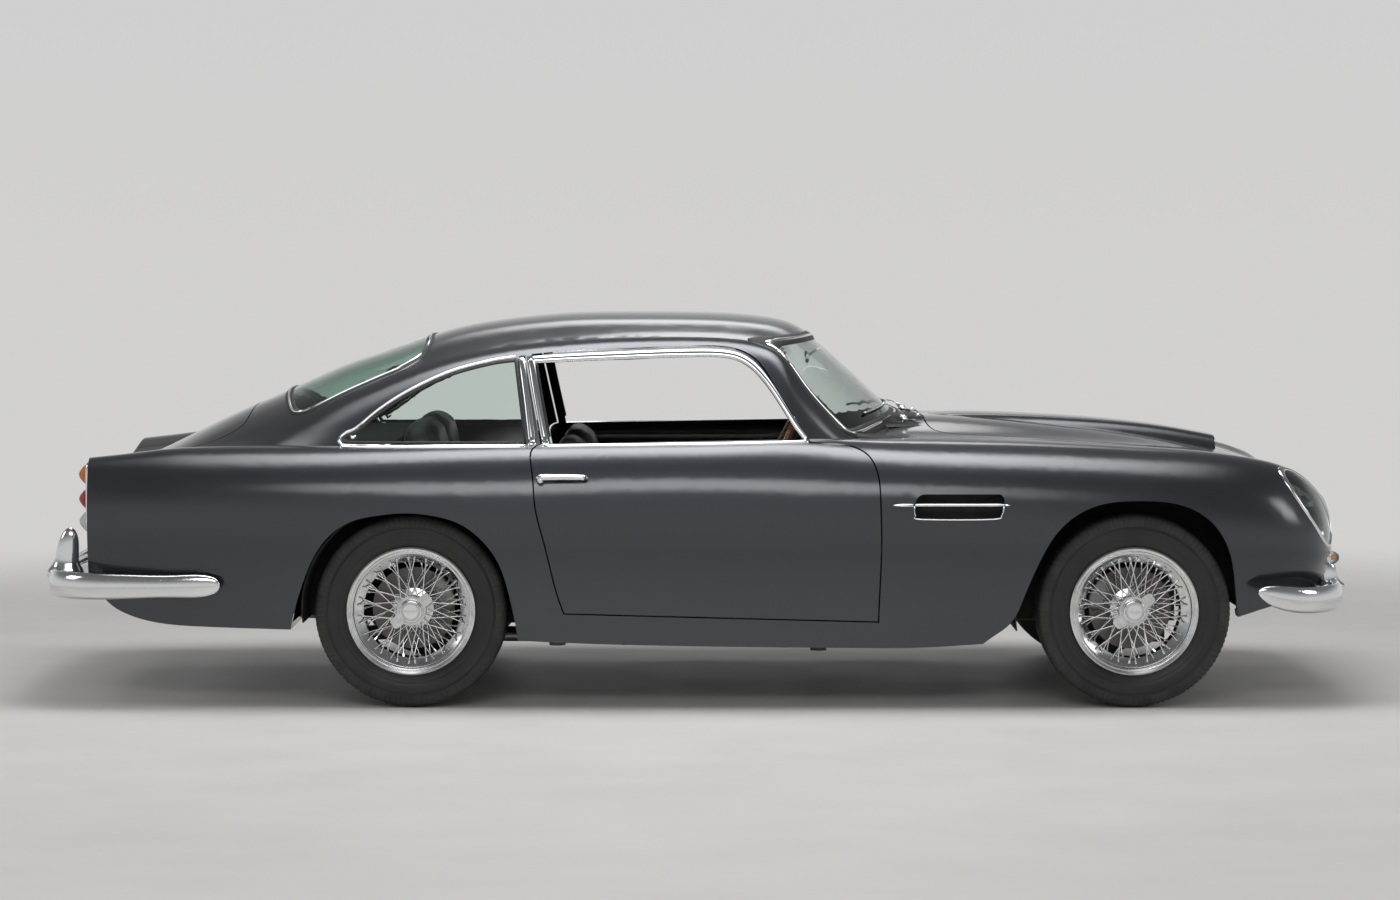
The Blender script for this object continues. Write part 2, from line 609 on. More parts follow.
def across_car(half, last_height):
    """A loop in the front view from its left half, closed at the car's middle."""
    return half + [(0.0, last_height)] + [(-y, z) for y, z in reversed(half[1:])]


ON_BODY = (("body", False),)
screen_skin = surface("windscreen", "roof", "front_body")
screen_loop = across_car([(0.0, 0.9869), (0.2263, 0.9788), (0.4358, 0.9571), (0.5700, 0.9370),
                          (0.5990, 0.9420), (0.5960, 0.9620), (0.5866, 0.9923), (0.5657, 1.0868),
                          (0.5430, 1.1813), (0.5238, 1.2272), (0.4860, 1.2474), (0.3939, 1.2569),
                          (0.2011, 1.2636)], 1.2640)
band("screen_gasket", screen_skin, "front", screen_loop, 0.030, 0.006, rubber, ON_BODY,
     closed=True, limit=FRONT_REACH)
band("screen_inlay", screen_skin, "front", screen_loop, 0.010, 0.0095, chrome, ON_BODY,
     closed=True, limit=FRONT_REACH)


# Wipers
# Two chromed spindles on the scuttle with chunky arm heads, thin arms and rubber blades, parked low on
# the glass, and a washer jet beside each. They replace the plain CAD pair and don't move.

def on_glass(y, lift):
    """A place on the parking line, a little above the screen."""
    spot, normal = hit(glass_skin, "front", y, PARK_HEIGHT - PARK_DROP * y * y, FRONT_REACH)
    return spot + normal * lift


def on_scuttle(x, y):
    """The panel under a place, seen from above."""
    return scuttle_skin.ray_cast(Vector((x, y, 2.0)), Vector((0, 0, -1)))[0]


glass_skin = surface("windscreen")
scuttle_skin = surface("front_body", "bonnet")
# Height above the scuttle and radius of each ring.
SPINDLE_RINGS = ((-0.006, 0.0150), (0.003, 0.0150), (0.006, 0.0110), (0.014, 0.0100), (0.015, 0.0130),
                 (0.024, 0.0130), (0.028, 0.0105), (0.031, 0.0050))
JET_RINGS = ((-0.004, 0.0085), (0.004, 0.0080), (0.008, 0.0055), (0.013, 0.0040))
# Height of the parking line at the car's middle, and how fast it drops towards the sides.
PARK_HEIGHT, PARK_DROP = 1.018, 0.13
HEAD_HEIGHT, HEAD_TAIL, HALF_CLIP = 0.0195, 0.020, 0.020
JET_X, JET_ASIDE = 0.7950, 0.110
ARM_RADII = [0.006] + [0.0105] * 9 + [0.0105 - 0.0011 * k for k in range(1, 6)] + [0.0042] * 10
for side, spindle_x, spindle_y, blade_from, blade_to in (
        ("right", 0.7350, -0.3300, -0.4300, 0.0500), ("left", 0.7520, 0.0350, -0.0200, 0.4600)):
    foot = on_scuttle(spindle_x, spindle_y)
    middle = (blade_from + blade_to) / 2
    head = foot + Vector((0, 0, HEAD_HEIGHT))
    rest = on_glass(middle, 0.0150)
    tail = head + (head - rest).normalized() * HEAD_TAIL
    bend = head.lerp(rest, 0.45) + Vector((0.006, 0, 0.010))
    rise = head.lerp(bend, 0.45) + Vector((0, 0, 0.004))
    places = [blade_from + (blade_to - blade_from) * k / 24 for k in range(25)]
    clip = [on_glass(middle + aside, lift)
            for aside, lift in ((-HALF_CLIP, 0.0130), (0.0, 0.0145), (HALF_CLIP, 0.0130))]
    parts = (
        tube("wiper_spindle_" + side, [foot + Vector((0, 0, up)) for up, _ in SPINDLE_RINGS],
             [r for _, r in SPINDLE_RINGS], chrome, "body", 20),
        tube("wiper_arm_" + side, smooth_line([tail, head, rise, bend, rest], 6), ARM_RADII, chrome,
             "body", 12, False, 0.62),
        tube("wiper_holder_" + side, [on_glass(y, 0.0105) for y in places],
             [0.0022] * 2 + [0.0034] * 21 + [0.0022] * 2, chrome, "body", 10),
        tube("wiper_blade_" + side, [on_glass(y, 0.0050) for y in places], 0.0046, rubber, "body",
             10),
        tube("wiper_clip_" + side, clip, [0.0030, 0.0062, 0.0030], chrome, "body"))
    for part in parts:
        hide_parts("wipers")
    jet = on_scuttle(JET_X, spindle_y + JET_ASIDE)
    tube("washer_jet_" + side, [jet + Vector((0, 0, up)) for up, _ in JET_RINGS],
         [r for _, r in JET_RINGS], chrome, "body", 16)

# Rear window surround
# The tinted rear pane has a black gasket of the same section as the windscreen's, with a chrome strip.
# It is drawn from above, because the pane lies nearly flat in the fastback.

rear_skin = surface("rear_window", "roof")
half_rear = [(-0.9624, 0.0), (-0.9578, 0.1508), (-0.9510, 0.3017), (-0.9738, 0.4106),
             (-1.0378, 0.4592), (-1.1064, 0.4726), (-1.2162, 0.4911), (-1.3213, 0.5062),
             (-1.3807, 0.4986), (-1.4219, 0.4483), (-1.4493, 0.3101), (-1.4653, 0.1508)]
rear_loop = half_rear + [(-1.4699, 0.0)] + [(x, -y) for x, y in reversed(half_rear[1:])]
band("rear_gasket", rear_skin, "plan", rear_loop, 0.030, 0.005, rubber, ON_BODY,
     closed=True, limit=TOP_REACH)
band("rear_inlay", rear_skin, "plan", rear_loop, 0.011, 0.009, chrome, ON_BODY,
     closed=True, limit=TOP_REACH)


# Headlamps
# Silvered bowls with a domed, finely ribbed lens and a chromed retaining ring, behind clear covers.
# A thin chromed rim holds each cover in the wing.

def ring(centre, radius, steps):
    """A circle that faces along the car."""
    return [centre + Vector((0, radius * math.cos(a), radius * math.sin(a))) for a in turns(steps)]


def dome(centre, profile, steps):
    """Vertices of a profile of (radius, distance forward) turned round a line along the car."""
    return [v for r, ahead in profile for v in ring(centre + Vector((ahead, 0, 0)), r, steps)]


silver = material("lamp_silver", (0.85, 0.86, 0.88), 0.08, 1.0)
vary_rough(silver, grain(silver, 50.0), 0.05, 0.14)
dress(silver, "headlamps")
lens_glass = material("lamp_lens_glass", (0.93, 0.95, 0.95), 0.05)
set_sockets(lens_glass, {"Transmission Weight": 1.0, "IOR": 1.3})
emboss(lens_glass, grain(lens_glass, 160.0, 0.0, (0.05, 1.0, 0.05)), 0.5, 0.002)

LAMP_Y, LAMP_HEIGHT = 0.5782, 0.6790
COVER_HALF_WIDTH, COVER_HALF_HEIGHT = 0.0832, 0.1352
LENS_RADIUS, LENS_EDGE, LENS_SWELL, LENS_BACK = 0.084, 0.010, 0.018, 0.020
HOLDER_RADIUS, HOLDER_THICKNESS, HOLDER_AHEAD = 0.087, 0.0055, 0.008
rim_line = [(-LAMP_Y + COVER_HALF_WIDTH * math.cos(a), LAMP_HEIGHT + COVER_HALF_HEIGHT * math.sin(a))
            for a in turns(32)]
band("lamp_rim", surface("front_body", "headlamp_covers"), "front", rim_line, 0.012, 0.0045, chrome,
     ON_BODY_SIDES, closed=True, limit=2.6, per_run=4)
low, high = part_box("headlamps")
arc = [i / 9 * math.pi / 2 for i in range(10)]
lens_profile = [(max(LENS_RADIUS * math.sin(a), 0.001), LENS_EDGE + LENS_SWELL * math.cos(a))
                for a in arc]
for side, sign in SIDES:
    centre = Vector((high.x - LENS_BACK, -LAMP_Y * sign, LAMP_HEIGHT))
    piece("headlamp_lens_" + side, dome(centre, lens_profile, 48), capped(10, 48), lens_glass, "body")
    holder = ring(centre + Vector((HOLDER_AHEAD, 0, 0)), HOLDER_RADIUS, 64)
    tube("headlamp_ring_" + side, holder, HOLDER_THICKNESS, chrome, "body", 10, True)

# Side vents
# A black pressed box behind the opening in each front wing, with a bright bead along its lower lip.
# A chromed bar runs across it, from ahead of the door to just behind the wheel arch.

dark = material("black_inside", (0.010, 0.010, 0.011), 0.75)
vary_rough(dark, grain(dark, 20.0), 0.65, 0.85)

wing_skin = surface("front_body")
VENT_X, VENT_HEIGHT = 0.8980, 0.6990
VENT_OUTLINE = ((0.7680, 0.6570), (1.0100, 0.6570), (1.0420, 0.6720), (1.0500, 0.7000),
                (1.0500, 0.7290), (1.0380, 0.7420), (0.7860, 0.7420), (0.7540, 0.7290),
                (0.7450, 0.7000), (0.7470, 0.6700))
# Depth behind the wing's skin and size against the opening.
VENT_BOX = ((0.012, 1.06), (0.012, 1.02), (0.070, 1.02), (0.072, 0.0))
# How far out the wing stands, used where a ray beside the opening finds no skin.
WING_OUT = 0.82
BAR_HEIGHT, BAR_FROM, BAR_LENGTH, BAR_LIFT = 0.7050, 0.671, 0.400, 0.0026
# Where the opening lies along the bar; there the wing's skin is found a little above the bar.
OPENING_FROM, OPENING_TO, ABOVE_OPENING = 0.735, 1.06, 0.045


def beside_vent(p, wider, taller):
    """The wing's skin beside a point of the opening, or None."""
    return hit(wing_skin, "right", VENT_X + (p.x - VENT_X) * wider,
               VENT_HEIGHT + (p.y - VENT_HEIGHT) * taller, SIDE_REACH)


vent_line = smooth_line([Vector(p) for p in VENT_OUTLINE], 4, True)
for side, sign in SIDES:
    verts = []
    for depth, grow in VENT_BOX:
        for p in vent_line:
            spot = beside_vent(p, 1.10, 1.25)
            y = (spot[0].y if spot else -WING_OUT) + depth
            verts.append(Vector((VENT_X + (p.x - VENT_X) * grow, y * sign,
                                 VENT_HEIGHT + (p.y - VENT_HEIGHT) * grow)))
    piece("vent_box_" + side, verts, grid_faces(len(VENT_BOX), len(vent_line), False, True), dark, "body",
          False)
    bead = []
    for p in vent_line:
        spot = beside_vent(p, 1.03, 1.08)
        if spot and p.y < 0.700:
            bead.append(Vector((p.x, (spot[0].y + 0.001) * sign, p.y)))
    bead.sort(key=lambda v: math.atan2(v.z - 0.80, v.x - VENT_X))
    tube("vent_bead_" + side, bead, 0.0022, chrome, "body", 8)
    bar, radii = [], []
    for k in range(41):
        x = BAR_FROM + BAR_LENGTH * k / 40
        above = ABOVE_OPENING if OPENING_FROM < x < OPENING_TO else 0.0
        spot, _ = hit(wing_skin, "right", x, BAR_HEIGHT + above, SIDE_REACH)
        bar.append(Vector((x, (spot.y - BAR_LIFT) * sign, BAR_HEIGHT)))
        radii.append(0.0015 + 0.0040 * min(1, k / 3, (40 - k) / 3))
    tube("vent_bar_" + side, bar, radii, chrome, "body", 12)

# Door handles
# A cast and chromed pull on two feet, which swells in the middle, over the plain CAD bar.
# The push button's boss stands behind the rear foot.

PULL_X, PULL_HEIGHT, PULL_OUT = -0.5490, 0.7992, 0.8254
PULL_LENGTH, PULL_RADIUS = 0.1790, 0.0118
BUTTON_X, BUTTON_HEIGHT, BUTTON_SUNK, BUTTON_STEP = -0.5330, 0.7900, 0.014, 0.006
for side, sign in SIDES:
    points, radii = [], []
    for k in range(33):
        t = k / 32
        swell = math.sin(math.pi * t)
        out = -(PULL_OUT + 0.0012 * swell)
        points.append(Vector((PULL_X + PULL_LENGTH * t, out * sign, PULL_HEIGHT + 0.002 * swell)))
        radii.append(PULL_RADIUS * min(1, t * 9 + 0.25) * (1 - 0.12 * t) * min(1, (1 - t) * 9 + 0.25))
    tube("door_pull_" + side, points, radii, chrome, "door_" + side, 20)
    boss = [Vector((BUTTON_X, (BUTTON_SUNK - PULL_OUT - BUTTON_STEP * k) * sign, BUTTON_HEIGHT))
            for k in range(5)]
    tube("door_button_" + side, boss, [0.013, 0.013, 0.0125, 0.011, 0.004], chrome, "door_" + side,
         20)

# Tail lamps
# Three pointed plastic lenses a side, amber over red over clear, moulded with small prisms inside.
# Each is held by a chromed ring on one chromed base; the lenses replace the CAD lamps.

TAIL_Y = 0.600
TAIL_RING_X, TAIL_RING_RADIUS, TAIL_RING_THICKNESS = -2.1165, 0.0395, 0.0032
BASE_MIDDLE, BASE_HALF_WIDTH, BASE_HALF_HEIGHT = 0.7145, 0.044, 0.1245
BASE_LAYERS = ((-2.098, 1.0), (-2.1150, 1.0), (-2.1190, 0.94))
LENS_COLOURS = (("amber", (0.85, 0.24, 0.02), 0.7952), ("red", (0.55, 0.008, 0.015), 0.7101),
                ("clear", (0.85, 0.87, 0.88), 0.6318))
TAIL_PROFILE = ((0.0390, -2.1065), (0.0390, -2.1160), (0.0375, -2.1205), (0.0320, -2.1280),
                (0.0235, -2.1365), (0.0140, -2.1440), (0.0060, -2.1480), (0.0008, -2.1490))
for word, colour, height in LENS_COLOURS:
    lens = material("tail_lens_" + word, colour, 0.12)
    set_sockets(lens, {"Transmission Weight": 0.55, "IOR": 1.45})
    emboss(lens, grain(lens, 260.0, cells=True), 0.6, 0.002)
    for side, sign in SIDES:
        tag = "_%s_%s" % (word, side)
        middle = Vector((0, -TAIL_Y * sign, height))
        made = piece("tail_lens" + tag, dome(middle, TAIL_PROFILE, 40), capped(len(TAIL_PROFILE), 40),
                     lens, "body")
        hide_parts("tail_lamps")
        holder = ring(middle + Vector((TAIL_RING_X, 0, 0)), TAIL_RING_RADIUS, 48)
        tube("tail_ring" + tag, holder, TAIL_RING_THICKNESS, chrome, "body", 8, True)
for side, sign in SIDES:
    verts = []
    for x, grow in BASE_LAYERS:
        for a in turns(48):
            y, z = rounded(a, BASE_HALF_WIDTH * grow, BASE_HALF_HEIGHT * grow, 0.35)
            verts.append(Vector((x, -TAIL_Y * sign + y, BASE_MIDDLE + z)))
    piece("tail_lamp_base_" + side, verts, capped(3, 48, first=False), chrome, "body")

# Front indicators
# A small round lamp under each headlamp: a clear domed lens over an amber bulb, on a chromed base.
# All three parts replace the CAD lamp.

amber = material("amber_bulb", (0.90, 0.30, 0.05), 0.3)
tint(amber, grain(amber, 60.0), (0.80, 0.24, 0.04), (0.95, 0.36, 0.07))
INDICATOR_Y, INDICATOR_HEIGHT = 0.545, 0.4995
INDICATOR_PARTS = (
    ("indicator_base_", chrome, "chrome_trim", ((0.026, 2.195), (0.027, 2.212), (0.025, 2.216))),
    ("indicator_bulb_", amber, "lamp_clear", ((0.006, 2.210), (0.008, 2.220), (0.006, 2.230),
                                              (0.001, 2.233))),
    ("indicator_lens_", lens_glass, "lamp_clear", ((0.0235, 2.213), (0.0235, 2.226), (0.019, 2.238),
                                                   (0.011, 2.247), (0.001, 2.2495))))
for side, sign in SIDES:
    middle = Vector((0, -INDICATOR_Y * sign, INDICATOR_HEIGHT))
    for tag, made, slot, profile in INDICATOR_PARTS:
        part = piece(tag + side, dome(middle, profile, 32), capped(len(profile), 32), made, "body")
        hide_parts("front_indicators")

# Grille bead
# A bright rolled bead that finishes the edge of the grille's opening in the nose.
# It lies on the panel all round and is clipped to it.

grille_loop = across_car([(0.0, 0.6640), (0.130, 0.6640), (0.262, 0.6640), (0.312, 0.6520),
                          (0.356, 0.6220), (0.382, 0.5880), (0.392, 0.5530), (0.387, 0.5170),
                          (0.365, 0.4920), (0.330, 0.4850), (0.160, 0.4850)], 0.4850)
band("grille_bead", wing_skin, "front", grille_loop, 0.014, 0.006, chrome, ON_BODY,
     closed=True, limit=2.4, per_run=6)


# Bonnet scoop mouth
# The raised centre of the bonnet ends in a low air intake, black inside, with a bright bead round it.
# Both lie on the panel and lift with it.

def board(upper, rows, columns, drop):
    """A sheet of rows of vertices and the same sheet moved by drop, joined round the edge."""
    count = rows * columns
    faces = grid_faces(rows, columns)
    faces += [tuple(reversed(f)) for f in grid_faces(rows, columns, base=count)]
    edge = list(range(columns)) + [i * columns + columns - 1 for i in range(1, rows)]
    edge += [count - 1 - j for j in range(1, columns)] + [i * columns for i in range(rows - 2, 0, -1)]
    for here, ahead in zip(edge, edge[1:] + edge[:1]):
        faces.append((here, ahead, ahead + count, here + count))
    return upper + [v + drop for v in upper], faces


bonnet_skin = surface("bonnet")
MOUTH_X, MOUTH_HALF = 1.8762, 0.1180
# How far ahead of the mouth its lower lip is measured, and how far behind it the crest.
LIP_AHEAD, CREST_BEHIND = 0.0098, 0.0082
top_line, low_line = [], []
for k in range(25):
    y = -MOUTH_HALF + 2 * MOUTH_HALF * k / 24
    ahead = bonnet_skin.ray_cast(Vector((MOUTH_X + LIP_AHEAD, y, 2.0)), Vector((0, 0, -1)))[0]
    crest = bonnet_skin.ray_cast(Vector((MOUTH_X - CREST_BEHIND, y, 2.0)), Vector((0, 0, -1)))[0]
    edge_drop = 0.006 + 0.010 * abs(2 * k / 24 - 1) ** 6
    low_line.append(Vector((MOUTH_X, y, ahead.z + 0.006)))
    top_line.append(Vector((MOUTH_X, y, crest.z - edge_drop)))
verts, faces = board(top_line + low_line, 2, 25, Vector((-0.006, 0, 0)))
piece("scoop_mouth", verts, faces, dark, "bonnet", False)
tube("scoop_bead", top_line + low_line[::-1], 0.0022, chrome, "bonnet", 8, True)


# Number plate, boot pull and lock
# A blank pressed plate screwed to the boot lid, a slim cast and chromed pull above it and a round lock.
# All ride on the lid.

def on_lid(y, height, lift):
    """A place on the boot lid or just off it."""
    spot, normal = hit(lid_skin, "rear", y, height, 3.5)
    return spot + normal * lift


plate_white = material("plate_blank", (0.70, 0.70, 0.68), 0.4)
tint(plate_white, grain(plate_white, 60.0), (0.66, 0.66, 0.64), (0.74, 0.74, 0.72))
lid_skin = surface("boot_lid", "rear_body")
PLATE_FOOT, PLATE_TOP = 0.645, 0.755
PLATE_HALF_WIDTH, PLATE_HALF_HEIGHT = 0.260, 0.056
foot, top = on_lid(0.0, PLATE_FOOT, 0.0), on_lid(0.0, PLATE_TOP, 0.0)
rise = (top - foot).normalized()
outward = Vector((-rise.z, 0, rise.x))
verts = []
for lift, grow in ((0.001, 0.98), (0.006, 1.0), (0.008, 0.985), (0.008, 0.001)):
    for a in turns(48):
        y, up = rounded(a, PLATE_HALF_WIDTH * grow, PLATE_HALF_HEIGHT * grow, 0.18, 0.25)
        verts.append((foot + top) / 2 + rise * up + Vector((0, y, 0)) + outward * lift)
piece("rear_plate", verts, grid_faces(4, 48, False, True), plate_white, "boot_lid")

PULL_LINE, LOCK_HEIGHT = 0.788, 0.772
pull = [on_lid(-0.075, PULL_LINE, -0.003), on_lid(-0.070, PULL_LINE, 0.010)]
pull += [on_lid(0.01 * k, PULL_LINE, 0.017 + 0.003 * math.cos(0.22 * k)) for k in range(-5, 6)]
pull += [on_lid(0.070, PULL_LINE, 0.010), on_lid(0.075, PULL_LINE, -0.003)]
tube("boot_pull", pull, [0.010, 0.009] + [0.0065] * 11 + [0.009, 0.010], chrome, "boot_lid",
     14, False, 0.7)
lock = [on_lid(0.0, LOCK_HEIGHT, lift) for lift in (-0.003, 0.004, 0.0055, 0.0050)]
tube("boot_lock", lock, [0.0125, 0.0125, 0.0095, 0.0040], chrome, "boot_lid", 24)


# Front seats
# Two low buckets in black hide over stuffed pads, with sewn flutes, side rolls and piped seams.
# Each runs on two steel rails on black feet bolted to the floor, and its back tilts on chromed hinges.

PAD_SIDES, PAD_SQUARE = 44, 0.55
VOXEL = 0.010
PRESSURE, CLOTH_FRAMES = 4.0, 20
# Shares of the half width where the flutes stop and fade, and where the side roll stands.
FLUTES_TO, FLUTES_FADE, ROLL_AT, ROLL_SPREAD = 0.72, 0.06, 0.86, 0.16
END_FADE = 0.03


def pad_shape(stations):
    """A closed skin through stations of (x, z, half width, half thickness)."""
    verts = []
    last = len(stations) - 1
    for i, (x, z, wide, thick) in enumerate(stations):
        behind, ahead = stations[max(i - 1, 0)], stations[min(i + 1, last)]
        way = Vector((ahead[0] - behind[0], 0, ahead[1] - behind[1])).normalized()
        out = Vector((-way.z, 0, way.x))
        for a in turns(PAD_SIDES):
            across, lift = rounded(a, wide, thick, PAD_SQUARE)
            verts.append(Vector((x, across, z)) + out * lift)
    return verts, capped(len(stations), PAD_SIDES)


def puffed(name, verts, faces, cap):
    """The shape's mesh after a voxel remesh, a capped pressure run and one subdivision."""
    mesh = bpy.data.meshes.new(name)
    mesh.from_pydata([tuple(v) for v in verts], [], faces)
    obj = bpy.data.objects.new(name, mesh)
    scene.collection.objects.link(obj)
    bpy.context.view_layer.objects.active = obj
    obj.select_set(True)
    remesh = obj.modifiers.new("remesh", "REMESH")
    remesh.mode = "VOXEL"
    remesh.voxel_size = VOXEL
    bpy.ops.object.modifier_apply(modifier=remesh.name)
    before = [v.co.copy() for v in obj.data.vertices]
    cloth = obj.modifiers.new("puff", "CLOTH")
    cloth.settings.use_pressure = True
    cloth.settings.uniform_pressure_force = PRESSURE
    cloth.settings.effector_weights.gravity = 0.0
    for frame_number in range(1, CLOTH_FRAMES + 1):
        scene.frame_set(frame_number)
    held = obj.evaluated_get(bpy.context.evaluated_depsgraph_get()).to_mesh()
    after = [v.co.copy() for v in held.vertices]
    obj.modifiers.remove(cloth)
    scene.frame_set(1)
    for v, a, b in zip(obj.data.vertices, before, after):
        step = b - a
        v.co = a + step * min(1.0, cap / max(step.length, 1e-6))
    split = obj.modifiers.new("split", "SUBSURF")
    split.levels = 1
    bpy.ops.object.modifier_apply(modifier=split.name)
    mesh = obj.data
    bpy.data.objects.remove(obj)
    return mesh


def line_at(stations, share):
    """Point and upward normal of a pad's middle line at a share of its length."""
    at = share * (len(stations) - 1)
    i = min(int(at), len(stations) - 2)
    t = at - i
    p, q = stations[i], stations[i + 1]
    way = Vector((q[0] - p[0], 0, q[1] - p[1])).normalized()
    return Vector((p[0] + (q[0] - p[0]) * t, 0, p[1] + (q[1] - p[1]) * t)), Vector((-way.z, 0, way.x))


def press_flutes(mesh, stations, half, first, last, pitch, depth, bolster):
    """Presses the sewn channels and raises the side rolls on the seating face."""
    start, _ = line_at(stations, first)
    end, _ = line_at(stations, last)
    way = (end - start).normalized()
    length = (end - start).length
    mesh.update()
    for v, n in zip(mesh.vertices, [v.normal.copy() for v in mesh.vertices]):
        along = (v.co - start).dot(way)
        _, out = line_at(stations, min(1.0, max(0.0, along / length)))
        face = max(0.0, n.dot(out)) ** 0.5
        share = abs(v.co.y) / half
        inside = min(1.0, max(0.0, (FLUTES_TO - share) / FLUTES_FADE))
        reach = min(1.0, max(0.0, along / END_FADE), max(0.0, (length - along) / END_FADE))
        groove = (1 - abs(math.sin(math.pi * v.co.y / pitch))) ** 3
        roll = bolster * max(0.0, 1 - ((share - ROLL_AT) / ROLL_SPREAD) ** 2)
        v.co += out * face * (roll * reach - depth * groove * inside * reach)


def seat_pad(name, stations, y_mid, seams, node, flutes, cap=0.012):
    """One pad on each side of the car, with piping along its seams."""
    mesh = puffed(name, *pad_shape(stations), cap)
    half = max(wide for _, _, wide, _ in stations)
    press_flutes(mesh, stations, half, *flutes)
    faces = [tuple(p.vertices) for p in mesh.polygons]
    tree = BVHTree.FromPolygons([v.co for v in mesh.vertices], faces)
    lines = []
    for share_y, first, last in seams:
        points = []
        for k in range(29):
            mid, out = line_at(stations, first + (last - first) * k / 28)
            away = mid + out * 0.3
            away.y = share_y * half
            spot = tree.ray_cast(away, -out)[0]
            if spot is not None:
                points.append(spot + out * 0.0008)
        lines.append(points)
    for side, sign in SIDES:
        def placed(p):
            return Vector((p.x, p.y * -sign - y_mid * sign, p.z))

        pad = piece(name + "_" + side, [placed(v.co) for v in mesh.vertices], faces, hide, "body")
        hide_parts(node)
        for index, points in enumerate(lines):
            tube("%s_piping_%d_%s" % (name, index, side), [placed(p) for p in points], 0.0026, hide,
                 "body", 8)


hide = material("black_leather", (0.034, 0.033, 0.032), 0.40)
tint(hide, grain(hide, 7.0, 5.0), (0.026, 0.025, 0.0245), (0.046, 0.044, 0.042))
vary_rough(hide, grain(hide, 40.0), 0.34, 0.52)
emboss(hide, grain(hide, 420.0, cells=True), 0.35, 0.0008)
set_sockets(hide, {"Specular IOR Level": 0.55})

SEAT_Y = 0.360
# Stations along each pad: x, height, half width, half thickness.
CUSHION = ((-0.2620, 0.372, 0.100, 0.020), (-0.2560, 0.372, 0.160, 0.050), (-0.2400, 0.373, 0.192, 0.072),
           (-0.2100, 0.374, 0.204, 0.082), (-0.1500, 0.375, 0.208, 0.086), (-0.0700, 0.378, 0.209, 0.088),
           (0.0100, 0.381, 0.209, 0.090), (0.0650, 0.383, 0.208, 0.088), (0.0960, 0.384, 0.202, 0.080),
           (0.1140, 0.384, 0.186, 0.064), (0.1240, 0.384, 0.150, 0.040), (0.1270, 0.384, 0.090, 0.015))
BACKREST = ((-0.3180, 0.430, 0.100, 0.020), (-0.3200, 0.438, 0.160, 0.042), (-0.3250, 0.455, 0.188, 0.056),
            (-0.3340, 0.490, 0.200, 0.062), (-0.3570, 0.570, 0.206, 0.062), (-0.3820, 0.650, 0.208, 0.060),
            (-0.4060, 0.730, 0.207, 0.058), (-0.4270, 0.800, 0.203, 0.056), (-0.4430, 0.855, 0.194, 0.052),
            (-0.4520, 0.890, 0.180, 0.045), (-0.4570, 0.912, 0.156, 0.034), (-0.4590, 0.924, 0.110, 0.018))
# Seams: share of the half width, then shares of the length where the piping starts and stops.
# Flutes: shares of the length where they start and stop, pitch, depth and height of the side rolls.
seat_pad("seat_cushion", CUSHION, SEAT_Y, ((-0.72, 0.14, 0.86), (0.72, 0.14, 0.86)), "front_seats",
         (0.10, 0.88, 0.052, 0.0055, 0.014))
seat_pad("seat_back", BACKREST, SEAT_Y, ((-0.70, 0.16, 0.84), (0.0, 0.20, 0.97), (0.70, 0.16, 0.84)),
         "front_seats", (0.12, 0.90, 0.052, 0.0050, 0.013))
RAIL = ((-0.330, 0.262), (-0.320, 0.268), (0.080, 0.268), (0.090, 0.262))
FOOT = ((-0.250, 0.270), (-0.240, 0.300), (0.020, 0.300), (0.030, 0.270))
HINGE = ((-0.240, 0.330), (-0.262, 0.400), (-0.290, 0.450), (-0.330, 0.520))
HALF_RAILS, HINGE_ASIDE = 0.150, 0.190
for side, sign in SIDES:
    for index, shift in enumerate((-HALF_RAILS, HALF_RAILS)):
        y = (shift - SEAT_Y) * sign
        tube("seat_rail_%d_%s" % (index, side), [Vector((x, y, z)) for x, z in RAIL], 0.011, steel,
             "body", 10)
        tube("seat_foot_%d_%s" % (index, side), [Vector((x, y, z)) for x, z in FOOT], 0.016, dark,
             "body", 10)
    hinge = [Vector((x, -(SEAT_Y + HINGE_ASIDE) * sign, z)) for x, z in HINGE]
    tube("seat_hinge_" + side, hinge, [0.010, 0.014, 0.014, 0.009], chrome, "body", 12,
         False, 0.5)

# Rear seats
# Two small moulded places in the same hide over foam, with a rounded top roll and piped seams.
# They are fixed to the floor and the bulkhead between the wheelhouses.

REAR_Y = 0.245
BENCH = ((-0.8600, 0.535, 0.100, 0.015), (-0.8540, 0.535, 0.170, 0.036), (-0.8350, 0.535, 0.206, 0.048),
         (-0.8000, 0.536, 0.218, 0.054), (-0.7400, 0.538, 0.222, 0.056), (-0.6900, 0.540, 0.222, 0.055),
         (-0.6650, 0.540, 0.214, 0.048), (-0.6520, 0.540, 0.190, 0.034), (-0.6470, 0.540, 0.120, 0.014))
SQUAB = ((-0.8900, 0.575, 0.100, 0.015), (-0.8930, 0.583, 0.170, 0.036), (-0.8990, 0.605, 0.206, 0.050),
         (-0.9130, 0.660, 0.218, 0.056), (-0.9330, 0.740, 0.222, 0.058), (-0.9520, 0.815, 0.220, 0.060),
         (-0.9680, 0.880, 0.212, 0.062), (-0.9770, 0.925, 0.196, 0.060), (-0.9810, 0.955, 0.168, 0.050),
         (-0.9830, 0.972, 0.120, 0.030), (-0.9835, 0.979, 0.060, 0.010))
seat_pad("rear_cushion", BENCH, REAR_Y, ((-0.72, 0.2, 0.8), (0.72, 0.2, 0.8)), "rear_seat",
         (0.15, 0.85, 0.050, 0.0045, 0.010), 0.010)
seat_pad("rear_back", SQUAB, REAR_Y, ((-0.72, 0.15, 0.78), (0.72, 0.15, 0.78)), "rear_seat",
         (0.15, 0.70, 0.050, 0.0045, 0.010), 0.010)


